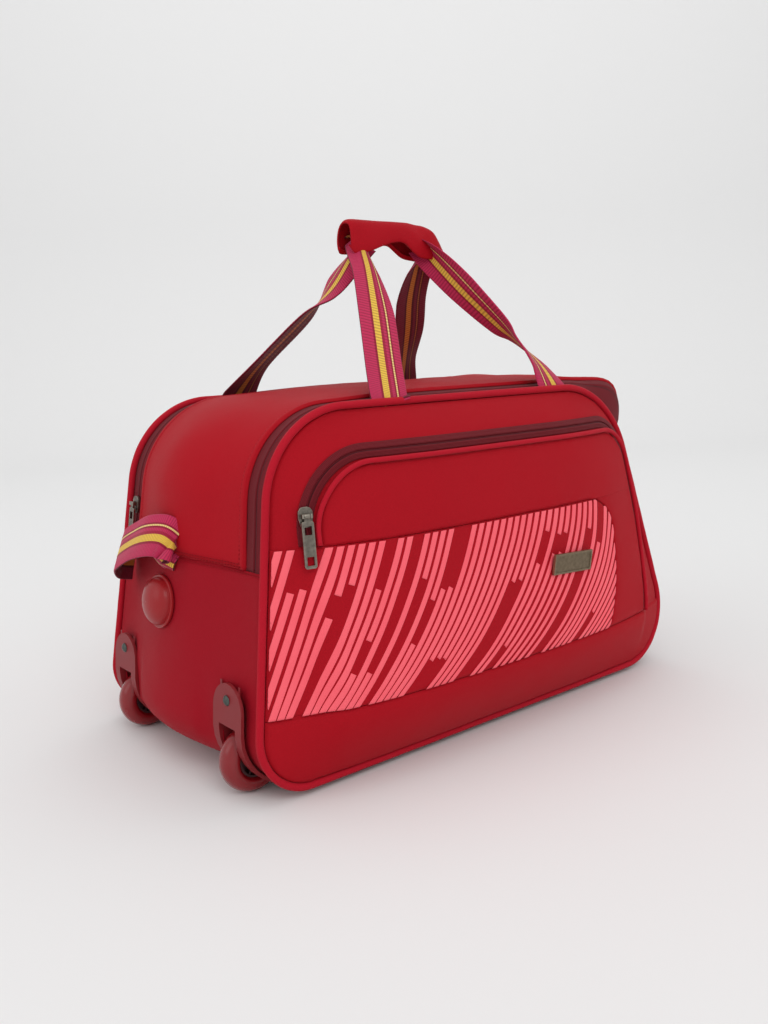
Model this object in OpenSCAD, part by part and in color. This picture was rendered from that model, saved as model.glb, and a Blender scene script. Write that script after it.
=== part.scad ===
// Rolling duffel bag: a soft zipped body on two wheels, with a webbing carry handle
// and a telescopic pull handle that slides out of the end away from the wheels.
// Millimetres. X runs from the wheel end (-X) to the pull-handle end (+X), the pocket
// face looks towards -Y, Z is up and the wheels and feet stand on Z = 0.

/* [Bag body] */
// Half length of the base on the wheel side, at its square corner
base_left = 273; // [265:1:280]
// Half length of the base on the pull-handle side, at its square corner
base_right = 290; // [284:1:296]
// Half length of the top on the wheel side, at its square corner
top_left = 229; // [215:1:240]
// Half length of the top on the pull-handle side, at its square corner
top_right = 199; // [190:1:210]
// Height of the underside above the ground
bag_floor = 8.5; // [7:0.5:10]
// Height of the top seam above the ground
bag_top = 318; // [300:1:330]
// Half depth between the two faces, measured at the ground
half_depth = 141; // [132:1:150]
// How much each face leans inwards for every millimetre of height
face_lean = 0.0767; // [0.05:0.0001:0.1]
// How far the packed front face swells out of its seam
face_crown = 38; // [20:1:45]
// How far the packed top swells out of its seams
top_bulge = 14; // [4:1:16]
// How far the packed ends swell out of their seams
end_bulge = 20; // [12:1:24]
// How far the corner above the pull handle is pushed out
corner_swell = 50; // [0:1:56]
// Height at which the main zips end
zip_end = 189; // [180:1:200]

/* [Fabric] */
// Thickness of the padded panels
panel_wall = 3; // [2:0.5:4]
// Radius of the piping around both faces
piping_r = 3.4; // [2.5:0.1:4]
// Width of the main zips' tape
tape_w = 25; // [20:1:30]
// Width of the webbing
webbing_w = 39; // [36:1:42]
// Thickness of the webbing
webbing_t = 2; // [1.5:0.5:3]

/* [Front pocket] */
// Height of the seam under the printed panel
band_seam = 73; // [65:1:80]
// Height of the seam over the printed panel
print_seam = 209; // [200:1:215]
// Far end of the printed panel
print_right = 151; // [140:1:155]
// Wheel-side edge of the pocket
pocket_left = -206; // [-210:1:-195]
// Pull-handle-side edge of the pocket, at its widest
pocket_right = 216; // [205:1:218]
// Height of the pocket's top edge
pocket_top = 273.5; // [265:0.5:280]
// Width of the pocket zip's tape
pocket_tape_w = 12; // [9:1:14]

/* [Wheels] */
// Radius of the wheels
wheel_r = 29; // [26:0.5:29]
// Width of the tyres
wheel_w = 22; // [18:1:24]
// Position of the wheel axles along the bag
wheel_x = -252; // [-254:0.5:-250]
// Distance of each wheel from the middle of the bag
wheel_y = 98; // [90:1:100]
// Radius of the axles
axle_r = 3; // [2.5:0.1:3.5]

/* [Pull handle] */
// Half of the whole length, from the end foot's tip to the stowed grip
half_length = 288.3; // [286:0.1:290]
// Half the distance between the tubes
tube_y = 52; // [45:1:56]
// Height of the tubes
tube_z = 35; // [33:0.5:37]
// Width of the outer tubes
tube_w = 24; // [22:0.5:26]
// Height of the outer tubes
tube_h = 15; // [14:0.5:16]
// Wall of all the tubes
tube_wall = 1.2; // [1:0.1:1.4]

/* [Carry handle] */
// Height of the top of the carry handle's wrap
wrap_top = 488; // [470:1:500]
// Length of the wrap
wrap_len = 112; // [95:1:125]
// Outer radius of the wrap
wrap_r = 25; // [22:0.5:27]

/* [Hidden] */
gap = 0.3;
r_bl = 46;
r_br = 62;
r_tr = 96;
r_tl = 85;
bag_red = "#b01a28";
deep_red = "#8a1420";
zip_red = "#78283a";
print_coral = "#ff6e78";
webbing_pink = "#be2d55";
wheel_red = "#963034";
gunmetal = "#80796c";
steel = "#b8bcc0";
black = "#202022";

// ---------------------------------------------------------------- outline of the faces

// Half depth of the bag at height z
function depth_at(z) = half_depth - face_lean * z;

// One sloping side of the outline, before its corners are rounded
function side_line(z, b, t) = b - (b - t) * (z - bag_floor) / (bag_top - bag_floor);

// Angle by which a side slopes from the vertical
function side_angle(b, t) = atan((b - t) / (bag_top - bag_floor));

// Centre of the corner of radius r that starts at height z
function corner_x(z, b, t, r) = side_line(z, b, t) - r / cos(side_angle(b, t));

// Distance of one side from x = 0 at height z, drawn in by g all round
function side_x(z, b, t, low, up, g) =
  let (a = side_angle(b, t), zl = bag_floor + low, zu = bag_top - up)
  z < zl + (low - g) * sin(a)
    ? corner_x(zl, b, t, low) + sqrt(max(0, pow(low - g, 2) - pow(z - zl, 2)))
    : z > zu + (up - g) * sin(a)
      ? corner_x(zu, b, t, up) + sqrt(max(0, pow(up - g, 2) - pow(z - zu, 2)))
      : side_line(z, b, t) - g / cos(a);

function left_x(z, g = 0) = -side_x(z, base_left, top_left, r_bl, r_tl, g);

function right_x(z, g = 0) = side_x(z, base_right, top_right, r_br, r_tr, g);

// Points of an arc, each with the direction of its outward normal
function arc(c, r, a0, a1, n) =
  [for (i = [0:n]) let (a = a0 + (a1 - a0) * i / n) [c.x + r * cos(a), c.y + r * sin(a), a]];

// Points between p and q, which lie on a straight side and share one normal
function between(p, q, n) =
  [for (i = [1:n - 1]) [p.x + (q.x - p.x) * i / n, p.y + (q.y - p.y) * i / n, p.z]];

left_angle = side_angle(base_left, top_left);
right_angle = side_angle(base_right, top_right);
c_bl = [-corner_x(bag_floor + r_bl, base_left, top_left, r_bl), bag_floor + r_bl];
c_br = [corner_x(bag_floor + r_br, base_right, top_right, r_br), bag_floor + r_br];
c_tr = [corner_x(bag_top - r_tr, base_right, top_right, r_tr), bag_top - r_tr];
c_tl = [-corner_x(bag_top - r_tl, base_left, top_left, r_tl), bag_top - r_tl];
arc_steps = 12;
arc_br = arc(c_br, r_br, -90, right_angle, arc_steps);
arc_tr = arc(c_tr, r_tr, right_angle, 90, arc_steps);
arc_tl = arc(c_tl, r_tl, 90, 180 - left_angle, arc_steps);
arc_bl = arc(c_bl, r_bl, 180 - left_angle, 270, arc_steps);
zip_right = [right_x(zip_end), zip_end, right_angle];
zip_left = [left_x(zip_end), zip_end, 180 - left_angle];

// Over the top, from the right end of the zips to the left
over_path = concat([zip_right], between(zip_right, arc_tr[0], 3), arc_tr,
  between(arc_tr[arc_steps], arc_tl[0], 9), arc_tl,
  between(arc_tl[arc_steps], zip_left, 3), [zip_left]);

// Under the base, from the left end of the zips to the right
under_path = concat([zip_left], between(zip_left, arc_bl[0], 5), arc_bl,
  between(arc_bl[arc_steps], arc_br[0], 12), arc_br,
  between(arc_br[arc_steps], zip_right, 4), [zip_right]);

// Both together, as one closed loop
loop_path = concat([for (i = [0:len(over_path) - 2]) over_path[i]],
  [for (i = [0:len(under_path) - 2]) under_path[i]]);

// ---------------------------------------------------------------- shape of the bag

function smooth(t) = let (s = min(1, max(0, t))) s * s * (3 - 2 * s);

// Swell of a face at a point of it, from 0 at the seam to c in the middle
function crown_at(x, z, c) =
  let (l = left_x(z), r = right_x(z), u = (2 * x - l - r) / (r - l),
       w = (2 * z - bag_floor - bag_top) / (bag_top - bag_floor))
  c * (1 - pow(min(1, abs(u)), 3.2)) * (1 - pow(min(1, abs(w)), 4));

// Height of the front layers above the front panel, which the pocket lifts
pocket_swell = 4.4;
function layer_lift(x, z) = 2.2 + pocket_swell * smooth((x - pocket_left + 12) / 24)
  * smooth((pocket_right + 9 - x) / 15) * smooth((z - 20) / 45)
  * smooth((pocket_top + 10 - z) / 8);

// Distance of the visible front face from the middle plane
function front_y(x, z, lift = 0) =
  -(depth_at(z) + crown_at(x, z, face_crown) + layer_lift(x, z) + lift);

// How strongly path point f belongs to the corner above the pull handle
corner_z = 285;
function corner_at(f) = f.x < 0 || sin(f.z) < 0 ? 0
  : smooth((f.y - corner_z + 40) / 25) * exp(-pow((f.y - corner_z) / (f.y > corner_z ? 22 : 29), 2))
    * smooth(cos(f.z) / 0.35);

// Swell of the gusset at path point f and depth y
gusset_start = piping_r + gap;
function level_at(x) = 0.3 + 0.7 * smooth((x + 190) / 150);
function swell_at(f, y) =
  let (d = depth_at(f.y), q = y / d, e = max(0, d - gusset_start - abs(y)))
  end_bulge * pow(cos(f.z), sin(f.z) < 0 ? 4 : 2) * pow(1 - q * q, 3)
    + (sin(f.z) > 0 ? top_bulge * level_at(f.x) * pow(sin(f.z), 4) * (1 - pow(q, 4)) : 0)
    + corner_swell * corner_at(f) * (1 - exp(-e / 12)) * (0.55 + 0.45 * exp(-pow(e / 60, 2)));

// Point of the gusset at path point f and depth y, lifted by o. The pushed-out corner draws
// the cloth towards the faces.
corner_draw = 15;
function gusset_point(f, y, o) =
  let (e = max(0, depth_at(f.y) - gusset_start - abs(y)), s = swell_at(f, y) + o,
       draw = corner_draw * corner_at(f) * (1 - exp(-e / 25)) * smooth(abs(y) / 60))
  [f.x + cos(f.z) * s, y + sign(y) * draw, f.y + sin(f.z) * s];

// Closed solid between two grids of points that have the same rows and columns
module sheet(outer, inner) {
  rows = len(outer);
  cols = len(outer[0]);
  half = rows * cols;
  points = concat([for (r = outer) each r], [for (r = inner) each r]);
  function id(i, j) = i * cols + j;
  function quad(a, b, c, d) = [[a, b, c], [a, c, d]];
  faces = concat(
    [for (i = [0:rows - 2], j = [0:cols - 2])
      each quad(id(i, j), id(i + 1, j), id(i + 1, j + 1), id(i, j + 1))],
    [for (i = [0:rows - 2], j = [0:cols - 2])
      each quad(half + id(i, j), half + id(i, j + 1), half + id(i + 1, j + 1),
        half + id(i + 1, j))],
    [for (i = [0:rows - 2])
      each quad(id(i, 0), half + id(i, 0), half + id(i + 1, 0), id(i + 1, 0))],
    [for (i = [0:rows - 2]) let (e = cols - 1)
      each quad(id(i, e), id(i + 1, e), half + id(i + 1, e), half + id(i, e))],
    [for (j = [0:cols - 2])
      each quad(id(0, j), id(0, j + 1), half + id(0, j + 1), half + id(0, j))],
    [for (j = [0:cols - 2]) let (e = rows - 1)
      each quad(id(e, j), half + id(e, j), half + id(e, j + 1), id(e, j + 1))]);
  polyhedron(points, faces);
}

// Closed solid through rings of points, capped at both ends or joined into a loop
module skin(rings, closed = false) {
  n = len(rings);
  k = len(rings[0]);
  last = closed ? n - 1 : n - 2;
  sides = [for (i = [0:last], j = [0:k - 1])
    let (a = i * k + j, b = i * k + (j + 1) % k, c = ((i + 1) % n) * k + (j + 1) % k,
         d = ((i + 1) % n) * k + j)
    each [[a, b, c], [a, c, d]]];
  caps = closed ? [] : [[for (j = [k - 1:-1:0]) j], [for (j = [0:k - 1]) (n - 1) * k + j]];
  polyhedron([for (r = rings) each r], concat(sides, caps));
}

// Ring of k points of radius r around p, in the plane of the unit vectors u and v
function ring(p, u, v, r, k) =
  [for (j = [0:k - 1]) p + r * (cos(360 * j / k) * u + sin(360 * j / k) * v)];

// Patch of the front between two heights, where left(z) and right(z) bound each row
module front_patch(z0, z1, left, right, top, wall, rows, cols) {
  function point(i, j, lift) =
    let (z = z0 + (z1 - z0) * (1 - cos(180 * i / rows)) / 2,
         x = left(z) + (right(z) - left(z)) * j / cols)
    [x, front_y(x, z, lift), z];
  outer = [for (i = [0:rows]) [for (j = [0:cols]) point(i, j, top)]];
  inner = [for (i = [0:rows]) [for (j = [0:cols]) point(i, j, top - wall)]];
  sheet(inner, outer);
}

// Whole crowned face, on the front for side = -1 or on the back for side = 1
module face_shell(side, crown) {
  rows = 22;
  cols = 26;
  inset = piping_r + gap;
  function point(i, j, lift) =
    let (span = bag_top - bag_floor - 2 * inset,
         z = bag_floor + inset + span * (1 - cos(180 * i / rows)) / 2,
         l = left_x(z, inset), r = right_x(z, inset),
         x = l + (r - l) * (1 - cos(180 * j / cols)) / 2)
    [x, side * (depth_at(z) + crown_at(x, z, crown) + lift), z];
  outer = [for (i = [0:rows]) [for (j = [0:cols]) point(i, j, 0)]];
  inner = [for (i = [0:rows]) [for (j = [0:cols]) point(i, j, -panel_wall)]];
  if (side < 0)
    sheet(inner, outer);
  else
    sheet(outer, inner);
}

// Strip of the gusset along a path, between the depths from(d) and to(d)
module gusset_strip(path, from, to, top, wall, cols) {
  function row(f, o) = let (d = depth_at(f.y), a = from(d), b = to(d))
    [for (j = [0:cols]) gusset_point(f, a + (b - a) * j / cols, o)];
  sheet([for (f = path) row(f, top - wall)], [for (f = path) row(f, top)]);
}

// ---------------------------------------------------------------- fabric panels

module front_panel() {
  color(bag_red) face_shell(-1, face_crown);
}

back_extra = 8.6;
module back_panel() {
  color(bag_red) face_shell(1, face_crown + back_extra);
}

seam = 0.5;
corner_pocket = 55;
corner_pocket_right = 46;

// Pocket's edges at height z, drawn in by g
function pocket_left_x(z, g) =
  let (c = pocket_top - corner_pocket, r = corner_pocket - g)
  z < c ? pocket_left + g
    : pocket_left + corner_pocket - sqrt(max(0, r * r - pow(z - c, 2)));
function pocket_side_line(z) = pocket_right - 0.0011 * pow(z - 125, 2);
function pocket_right_x(z, g) =
  let (c = pocket_top - corner_pocket_right, r = corner_pocket_right - g)
  z < c ? pocket_side_line(z) - g
    : pocket_side_line(c) - corner_pocket_right + sqrt(max(0, r * r - pow(z - c, 2)));

// End of the printed panel at height z, with a rounded upper corner
corner_print = 40;
function print_right_x(z, g = 0) =
  let (c = print_seam - corner_print, r = corner_print - g)
  z < c ? print_right - g - 0.0018 * pow(c - z, 2)
    : print_right - corner_print + sqrt(max(0, r * r - pow(z - c, 2)));

pocket_inset = 3;
module pocket_upper_panel() {
  color(bag_red)
    front_patch(print_seam + seam, pocket_top - pocket_inset,
      function(z) pocket_left_x(z, pocket_inset),
      function(z) pocket_right_x(z, pocket_inset), 0, 1.5, 10, 24);
}

module pocket_side_panel() {
  color(bag_red)
    front_patch(band_seam + seam, print_seam - seam,
      function(z) print_right_x(z) + 2 * seam,
      function(z) pocket_right_x(z, pocket_inset), 0, 1.5, 12, 6);
}

module stripe_panel() {
  color(print_coral)
    front_patch(band_seam + seam, print_seam - seam,
      function(z) left_x(z, piping_r + gap), function(z) print_right_x(z, seam), 0, 1.5,
      16, 30);
}

module bottom_band() {
  color(bag_red)
    front_patch(bag_floor + piping_r + gap, band_seam - seam,
      function(z) left_x(z, piping_r + gap), function(z) right_x(z, piping_r + gap), 0,
      1.5, 10, 34);
}

module piping_loop(side) {
  skin([for (f = loop_path)
    ring([f.x, side * depth_at(f.y), f.y], [cos(f.z), 0, sin(f.z)], [0, -side, 0] * side,
      piping_r, 8)], closed = true);
}

module front_piping() {
  color(bag_red) piping_loop(-1);
}

module back_piping() {
  color(bag_red) piping_loop(1);
}

// Inverted U of the pocket: up the wheel side, over the top and down the far side
pocket_path = concat(
  [for (z = [print_seam + 2, (print_seam + pocket_top - corner_pocket) / 2 + 1])
    [pocket_left, z, 180]],
  [for (f = arc([pocket_left + corner_pocket, pocket_top - corner_pocket], corner_pocket,
    180, 90, 10)) f],
  [for (i = [1:11]) [pocket_left + corner_pocket + i * 23.5, pocket_top, 90]],
  [for (f = arc([pocket_right_x(pocket_top, 0), pocket_top - corner_pocket_right],
    corner_pocket_right, 90, 4, 8)) f],
  [for (i = [1:8]) let (z = 226 - i * 19) [pocket_side_line(z), z, 0]]);

piping_lift = 1.2;
module pocket_piping() {
  color(bag_red)
    skin([for (f = pocket_path)
      ring([f.x, front_y(f.x, f.y, piping_lift), f.y], [cos(f.z), 0, sin(f.z)],
        [0, 1, 0], 2.2, 8)]);
}

tape_start = 3;
module pocket_zip_tape() {
  function point(f, o, lift) =
    let (x = f.x + cos(f.z) * o, z = f.y + sin(f.z) * o)
    [x, -(depth_at(z) + crown_at(x, z, face_crown) + lift), z];
  function row(f, lift) =
    [for (o = [tape_start, tape_start + pocket_tape_w / 2, tape_start + pocket_tape_w])
      point(f, o, lift)];
  color(zip_red)
    sheet([for (f = pocket_path) row(f, 2.1)], [for (f = pocket_path) row(f, 0.9)]);
}

module front_zip_tape() {
  color(zip_red)
    gusset_strip(over_path, function(d) -(d - gusset_start),
      function(d) -(d - gusset_start - tape_w), -1.5, 1.5, 3);
}

module back_zip_tape() {
  color(zip_red)
    gusset_strip(over_path, function(d) d - gusset_start - tape_w,
      function(d) d - gusset_start, -1.5, 1.5, 3);
}

module top_gusset() {
  edge = gusset_start + tape_w + gap;
  color(bag_red)
    gusset_strip(over_path, function(d) -(d - edge), function(d) d - edge, 0,
      panel_wall, 10);
}

foot_x = 196;
foot_y = 84;
housing_w = 45;
module lower_gusset() {
  color(deep_red)
    difference() {
      gusset_strip(under_path, function(d) -(d - gusset_start),
        function(d) d - gusset_start, 0, panel_wall, 14);
      for (s = [-1, 1])
        translate([-300, s * wheel_y - housing_w / 2 - gap, -5])
          cube([300 + housing_end + gap, housing_w + 2 * gap, housing_top + 5 + gap]);
      translate([bezel_x - 40, -bezel_w / 2 - gap, bezel_z - gap])
        cube([100, bezel_w + 2 * gap, bezel_h + 2 * gap]);
      for (s = [-1, 1])
        translate([foot_x, s * foot_y, 0])
          cylinder(r = 4.3, h = 20, $fn = 24);
    }
}

// ---------------------------------------------------------------- base, feet and badge

board_z = 12;
board_l = 414;
board_w = 236;
module base_board() {
  color(black)
    difference() {
      translate([housing_end, -board_w / 2, board_z])
        cube([board_l, board_w, 3]);
      for (s = [-1, 1])
        translate([foot_x, s * foot_y, 0])
          cylinder(r = 4, h = 20, $fn = 48);
    }
}

module base_feet() {
  color(black)
    for (s = [-1, 1])
      translate([foot_x, s * foot_y, 0])
        rotate_extrude($fn = 64)
          polygon([[0, 0], [11, 0], [13, 1.2], [14, 4], [14, bag_floor - gap],
            [4, bag_floor - gap], [4, board_z + 3], [0, board_z + 3]]);
}

end_foot_z = 146;
end_foot_y = 7;
end_foot_h = 14.7;
rim_h = 2.6;
dome_r = 21.5;
module end_foot() {
  at = gusset_point([left_x(end_foot_z), end_foot_z, 180 - left_angle], end_foot_y, gap);
  color(wheel_red)
    translate(at)
      rotate([0, left_angle - 90, 0])
        rotate_extrude($fn = 72)
          polygon(concat([[0, 0], [24, 0], [24, 2], [23.2, rim_h], [dome_r + 0.3, rim_h]],
            [for (i = [0:9]) [dome_r * cos(10 * i), rim_h + (end_foot_h - rim_h) * sin(10 * i)]]));
}

badge_x = 71;
badge_z = 154;
badge_w = 57.5;
badge_h = 20;
badge_turn = -4;
module badge() {
  color(gunmetal)
    translate([badge_x, front_y(badge_x, badge_z, 2.5), badge_z])
      rotate([atan(face_lean) + 90, 0, 2])
      rotate([0, 0, badge_turn]) {
        translate([-badge_w / 2, -badge_h / 2, -0.9])
          cube([badge_w, badge_h, 1.8]);
        difference() {
          translate([-badge_w / 2, -badge_h / 2, 0.9])
            cube([badge_w, badge_h, 0.7]);
          translate([-badge_w / 2 + 2, -badge_h / 2 + 2, 0.8])
            cube([badge_w - 4, badge_h - 4, 1]);
        }
      }
}

// ---------------------------------------------------------------- wheels

housing_top = 98;
housing_end = -205;
slot_half = wheel_w / 2 + 2;
well_x = wheel_x + wheel_r + 4;
well_z = 2 * wheel_r + 4;

// Side view of the housing's outer face: a tongue up the end and round the corner
function housing_line(o) = concat(
  [[-270.5 + o, housing_top], [-273.5 + o, 58]],
  [for (i = [1:9]) [-222.5 - (51 - o) * cos(10 * i), 57 - (51 - o) * sin(10 * i)]],
  [[housing_end, 6 + o]]);

function reversed(list) = [for (i = [len(list) - 1:-1:0]) list[i]];

module side_plate(y, w) {
  translate([0, y + w / 2, 0])
    rotate([90, 0, 0])
      linear_extrude(w)
        children();
}

module wheel_housing(y) {
  cheek = 3;
  axis = [wheel_x, y, wheel_r];
  color(wheel_red)
    difference() {
      union() {
        intersection() {
          side_plate(y, housing_w)
            polygon(concat(housing_line(0), reversed(housing_line(3))));
          translate([-300, y, housing_top - housing_w / 2])
            rotate([0, 90, 0])
              union() {
                cylinder(r = housing_w / 2, h = 120, $fn = 96);
                translate([0, -housing_w / 2, 0])
                  cube([120, housing_w, 120]);
              }
        }
        for (s = [-1, 1])
          side_plate(y + s * (slot_half + cheek / 2), cheek)
            polygon(concat(housing_line(2.9), [[housing_end, well_z],
              [housing_end, well_z + 3], [-268, well_z + 3]]));
        translate([-270, y - slot_half - 0.1, well_z])
          cube([270 + well_x + 3, 2 * slot_half + 0.2, 3]);
        translate([well_x, y - slot_half - 0.1, 8])
          cube([3, 2 * slot_half + 0.2, well_z - 7]);
      }
      translate([-300, y - slot_half, -1])
        cube([300 + well_x, 2 * slot_half, well_z + 1]);
      translate(axis)
        rotate([90, 0, 0])
          cylinder(r = axle_r, h = 60, center = true, $fn = 64);
      translate([-300, y, rivet_z])
        rotate([0, 90, 0])
          cylinder(r = 2.5, h = 60, $fn = 48);
    }
}

rivet_z = 84;
module front_wheel_housing() {
  wheel_housing(-wheel_y);
}

module back_wheel_housing() {
  wheel_housing(wheel_y);
}

module housing_rivets() {
  color(gunmetal)
    for (s = [-1, 1])
      translate([-272, s * wheel_y, rivet_z])
        rotate([0, 90, 0])
          rotate_extrude($fn = 48)
            polygon([[0, -2.2], [2.6, -1.8], [4.2, -0.6], [4.6, 0.1], [2.5, 0.1],
              [2.5, 6], [0, 6]]);
}

module axle(y) {
  color(steel)
    translate([wheel_x, y, wheel_r])
      rotate([90, 0, 0])
        cylinder(r = axle_r, h = 2 * slot_half + 6, center = true, $fn = 64);
}

module front_axle() {
  axle(-wheel_y);
}

module back_axle() {
  axle(wheel_y);
}

hub_r = 15;
hub_w = 16;
module tyre(y) {
  h = wheel_w / 2;
  color(wheel_red)
    translate([wheel_x, y, wheel_r])
      rotate([90, 0, 0])
        rotate_extrude($fn = 96)
          polygon(concat([[hub_r, -hub_w / 2], [hub_r + 2, -h + 0.6]],
            [for (i = [0:12]) let (a = -90 + 15 * i)
              [wheel_r - 9 + 9 * cos(a), h * sin(a)]],
            [[hub_r + 2, h - 0.6], [hub_r, hub_w / 2]]));
}

module front_tyre() {
  tyre(-wheel_y);
}

module back_tyre() {
  tyre(wheel_y);
}

bush_r = 5;
module hub(y) {
  color(black)
    translate([wheel_x, y, wheel_r])
      rotate([90, 0, 0])
        difference() {
          union() {
            cylinder(r = hub_r, h = 3, center = true, $fn = 96);
            difference() {
              cylinder(r = hub_r, h = hub_w, center = true, $fn = 96);
              cylinder(r = hub_r - 2, h = hub_w + 1, center = true, $fn = 96);
            }
            cylinder(r = bush_r + 2, h = wheel_w, center = true, $fn = 64);
            for (a = [0:60:300])
              rotate(a)
                translate([bush_r + 1, -0.9, -hub_w / 2 + 1])
                  cube([hub_r - bush_r - 2, 1.8, hub_w - 2]);
          }
          cylinder(r = bush_r, h = wheel_w + 1, center = true, $fn = 64);
        }
}

module front_hub() {
  hub(-wheel_y);
}

module back_hub() {
  hub(wheel_y);
}

// Two flanged sleeves that run on the axle
module bushes(y) {
  color(steel)
    for (s = [-1, 1])
      translate([wheel_x, y + s * (wheel_w / 2 + 0.8), wheel_r])
        rotate([90 * s, 0, 0])
          difference() {
            union() {
              cylinder(r = 6.5, h = 0.8, $fn = 64);
              cylinder(r = bush_r, h = 8, $fn = 64);
            }
            translate([0, 0, -1])
              cylinder(r = axle_r + 0.05, h = 12, $fn = 64);
          }
}

module front_bushes() {
  bushes(-wheel_y);
}

module back_bushes() {
  bushes(wheel_y);
}

// ---------------------------------------------------------------- zip sliders and tabs

// Slider that lies in the local XZ plane and faces -Y, with its bar on the X axis
bar_y = -5;
module slider() {
  color(gunmetal) {
    translate([0, -0.2, 0])
      rotate([90, 0, 0])
        linear_extrude(2.2)
          polygon([[-4.4, -9], [4.4, -9], [6.2, -2], [6.2, 4], [4.4, 6.5], [2, 7.5],
            [-2, 7.5], [-4.4, 6.5], [-6.2, 4], [-6.2, -2]]);
    for (s = [-1, 1])
      translate([s * 3.6 - 0.8, bar_y - 1.8, -1.8])
        cube([1.6, 4.6, 3.6]);
    translate([0, bar_y, 0])
      rotate([0, 90, 0])
        cylinder(r = 1.1, h = 6, center = true, $fn = 32);
  }
}

// Pull tab that hangs from the bar: an eye, a neck and a plate with two windows
tab_len = 42;
module tab() {
  color(gunmetal)
    translate([0, bar_y, 0])
      difference() {
        union() {
          rotate([0, 90, 0])
            cylinder(r = 2.1, h = 5.2, center = true, $fn = 32);
          translate([-2.6, -1.1, -5])
            cube([5.2, 2.2, 5]);
          translate([0, 1.1, 0])
            rotate([90, 0, 0])
              linear_extrude(2.2)
                polygon([[-4, -4], [4, -4], [5.2, -5.4], [5.2, 1.4 - tab_len],
                  [3.9, -tab_len], [-3.9, -tab_len], [-5.2, 1.4 - tab_len], [-5.2, -5.4]]);
        }
        rotate([0, 90, 0])
          cylinder(r = 1.2, h = 20, center = true, $fn = 32);
        translate([-3, -5, -15])
          cube([6, 10, 7]);
        translate([-3, -5, 2.5 - tab_len])
          cube([6, 10, 7]);
      }
}

// Places a slider or a tab on its zip, turned about Z by turn and leant back by tilt
module on_zip(p, turn, tilt) {
  translate(p)
    rotate([0, 0, turn])
      rotate([-tilt, 0, 0])
        children();
}

slider_z = 234;
slider_lift = 2.5;
slider_x = pocket_left + corner_pocket - sqrt(pow(corner_pocket + tape_start
  + pocket_tape_w / 2, 2) - pow(slider_z - pocket_top + corner_pocket, 2));
slider_y = -(depth_at(slider_z) + crown_at(slider_x, slider_z, face_crown) + slider_lift);
slider_turn = -15;
slider_tilt = 7;

module on_pocket_zip() {
  on_zip([slider_x, slider_y, slider_z], slider_turn, slider_tilt)
    children();
}

// Place on a main zip's tape at height z, on the end whose normal is at angle a
zip_lift = -0.7;
function zip_y(z) = depth_at(z) - gusset_start - tape_w / 2;
function zip_point(x, z, a, side) = gusset_point([x, z, a], side * zip_y(z), zip_lift);

// Angle by which the swelling turns the tape there towards its face
function zip_slope(x, z, a) = atan((swell_at([x, z, a], zip_y(z) - 1)
  - swell_at([x, z, a], zip_y(z) + 1)) / 2);

back_zip_z = 222;
module on_back_zip() {
  a = 180 - left_angle;
  x = left_x(back_zip_z);
  on_zip(zip_point(x, back_zip_z, a, 1), -90 - zip_slope(x, back_zip_z, a), left_angle)
    children();
}

front_zip_z = 216;
module on_front_zip() {
  a = right_angle;
  x = right_x(front_zip_z);
  on_zip(zip_point(x, front_zip_z, a, -1), 90 - zip_slope(x, front_zip_z, a), right_angle)
    children();
}

module pocket_slider() {
  on_pocket_zip() slider();
}

module pocket_pull_tab() {
  on_pocket_zip() tab();
}

module back_slider() {
  on_back_zip() slider();
}

module back_pull_tab() {
  on_back_zip() tab();
}

module front_slider() {
  on_front_zip() slider();
}

module front_pull_tab() {
  on_front_zip() tab();
}

// ---------------------------------------------------------------- telescopic handle

bezel_x = 246;
bezel_w = 156;
bezel_z = 18;
bezel_h = 36;
bezel_face = 271.5;
tube_start = -196;
slide_gap = 0.2;

// Pair of box tubes of the outer size w by h, from x0 to x1. Each tube is four flat walls a
// hair apart, so that its collision stays open.
hair = 0.05;
module tube_pair(x0, x1, w, h) {
  side_h = h - 2 * tube_wall - 2 * hair;
  for (s = [-1, 1])
    translate([x0, s * tube_y, tube_z]) {
      for (z = [-h / 2, h / 2 - tube_wall])
        translate([0, -w / 2, z])
          cube([x1 - x0, w, tube_wall]);
      for (y = [-w / 2, w / 2 - tube_wall])
        translate([0, y, -side_h / 2])
          cube([x1 - x0, tube_wall, side_h]);
    }
}

tray_x = bezel_face - 3;
module outer_tubes() {
  color(steel) tube_pair(tube_start, tray_x, tube_w, tube_h);
}

// Seat and stop for the inner end of each outer tube
module tube_end_blocks() {
  low = board_z + 3;
  color(black)
    for (s = [-1, 1]) {
      translate([tube_start - 8, s * tube_y - 17, low])
        cube([8 - hair, 34, 32]);
      translate([tube_start, s * tube_y - 17, low])
        cube([22, 34, tube_z - tube_h / 2 - low - hair]);
    }
}

middle_w = tube_w - 2 * tube_wall - 2 * slide_gap;
middle_h = tube_h - 2 * tube_wall - 2 * slide_gap;
module middle_tubes() {
  color(steel) tube_pair(tube_start + 6, bezel_face, middle_w, middle_h);
}

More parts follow.
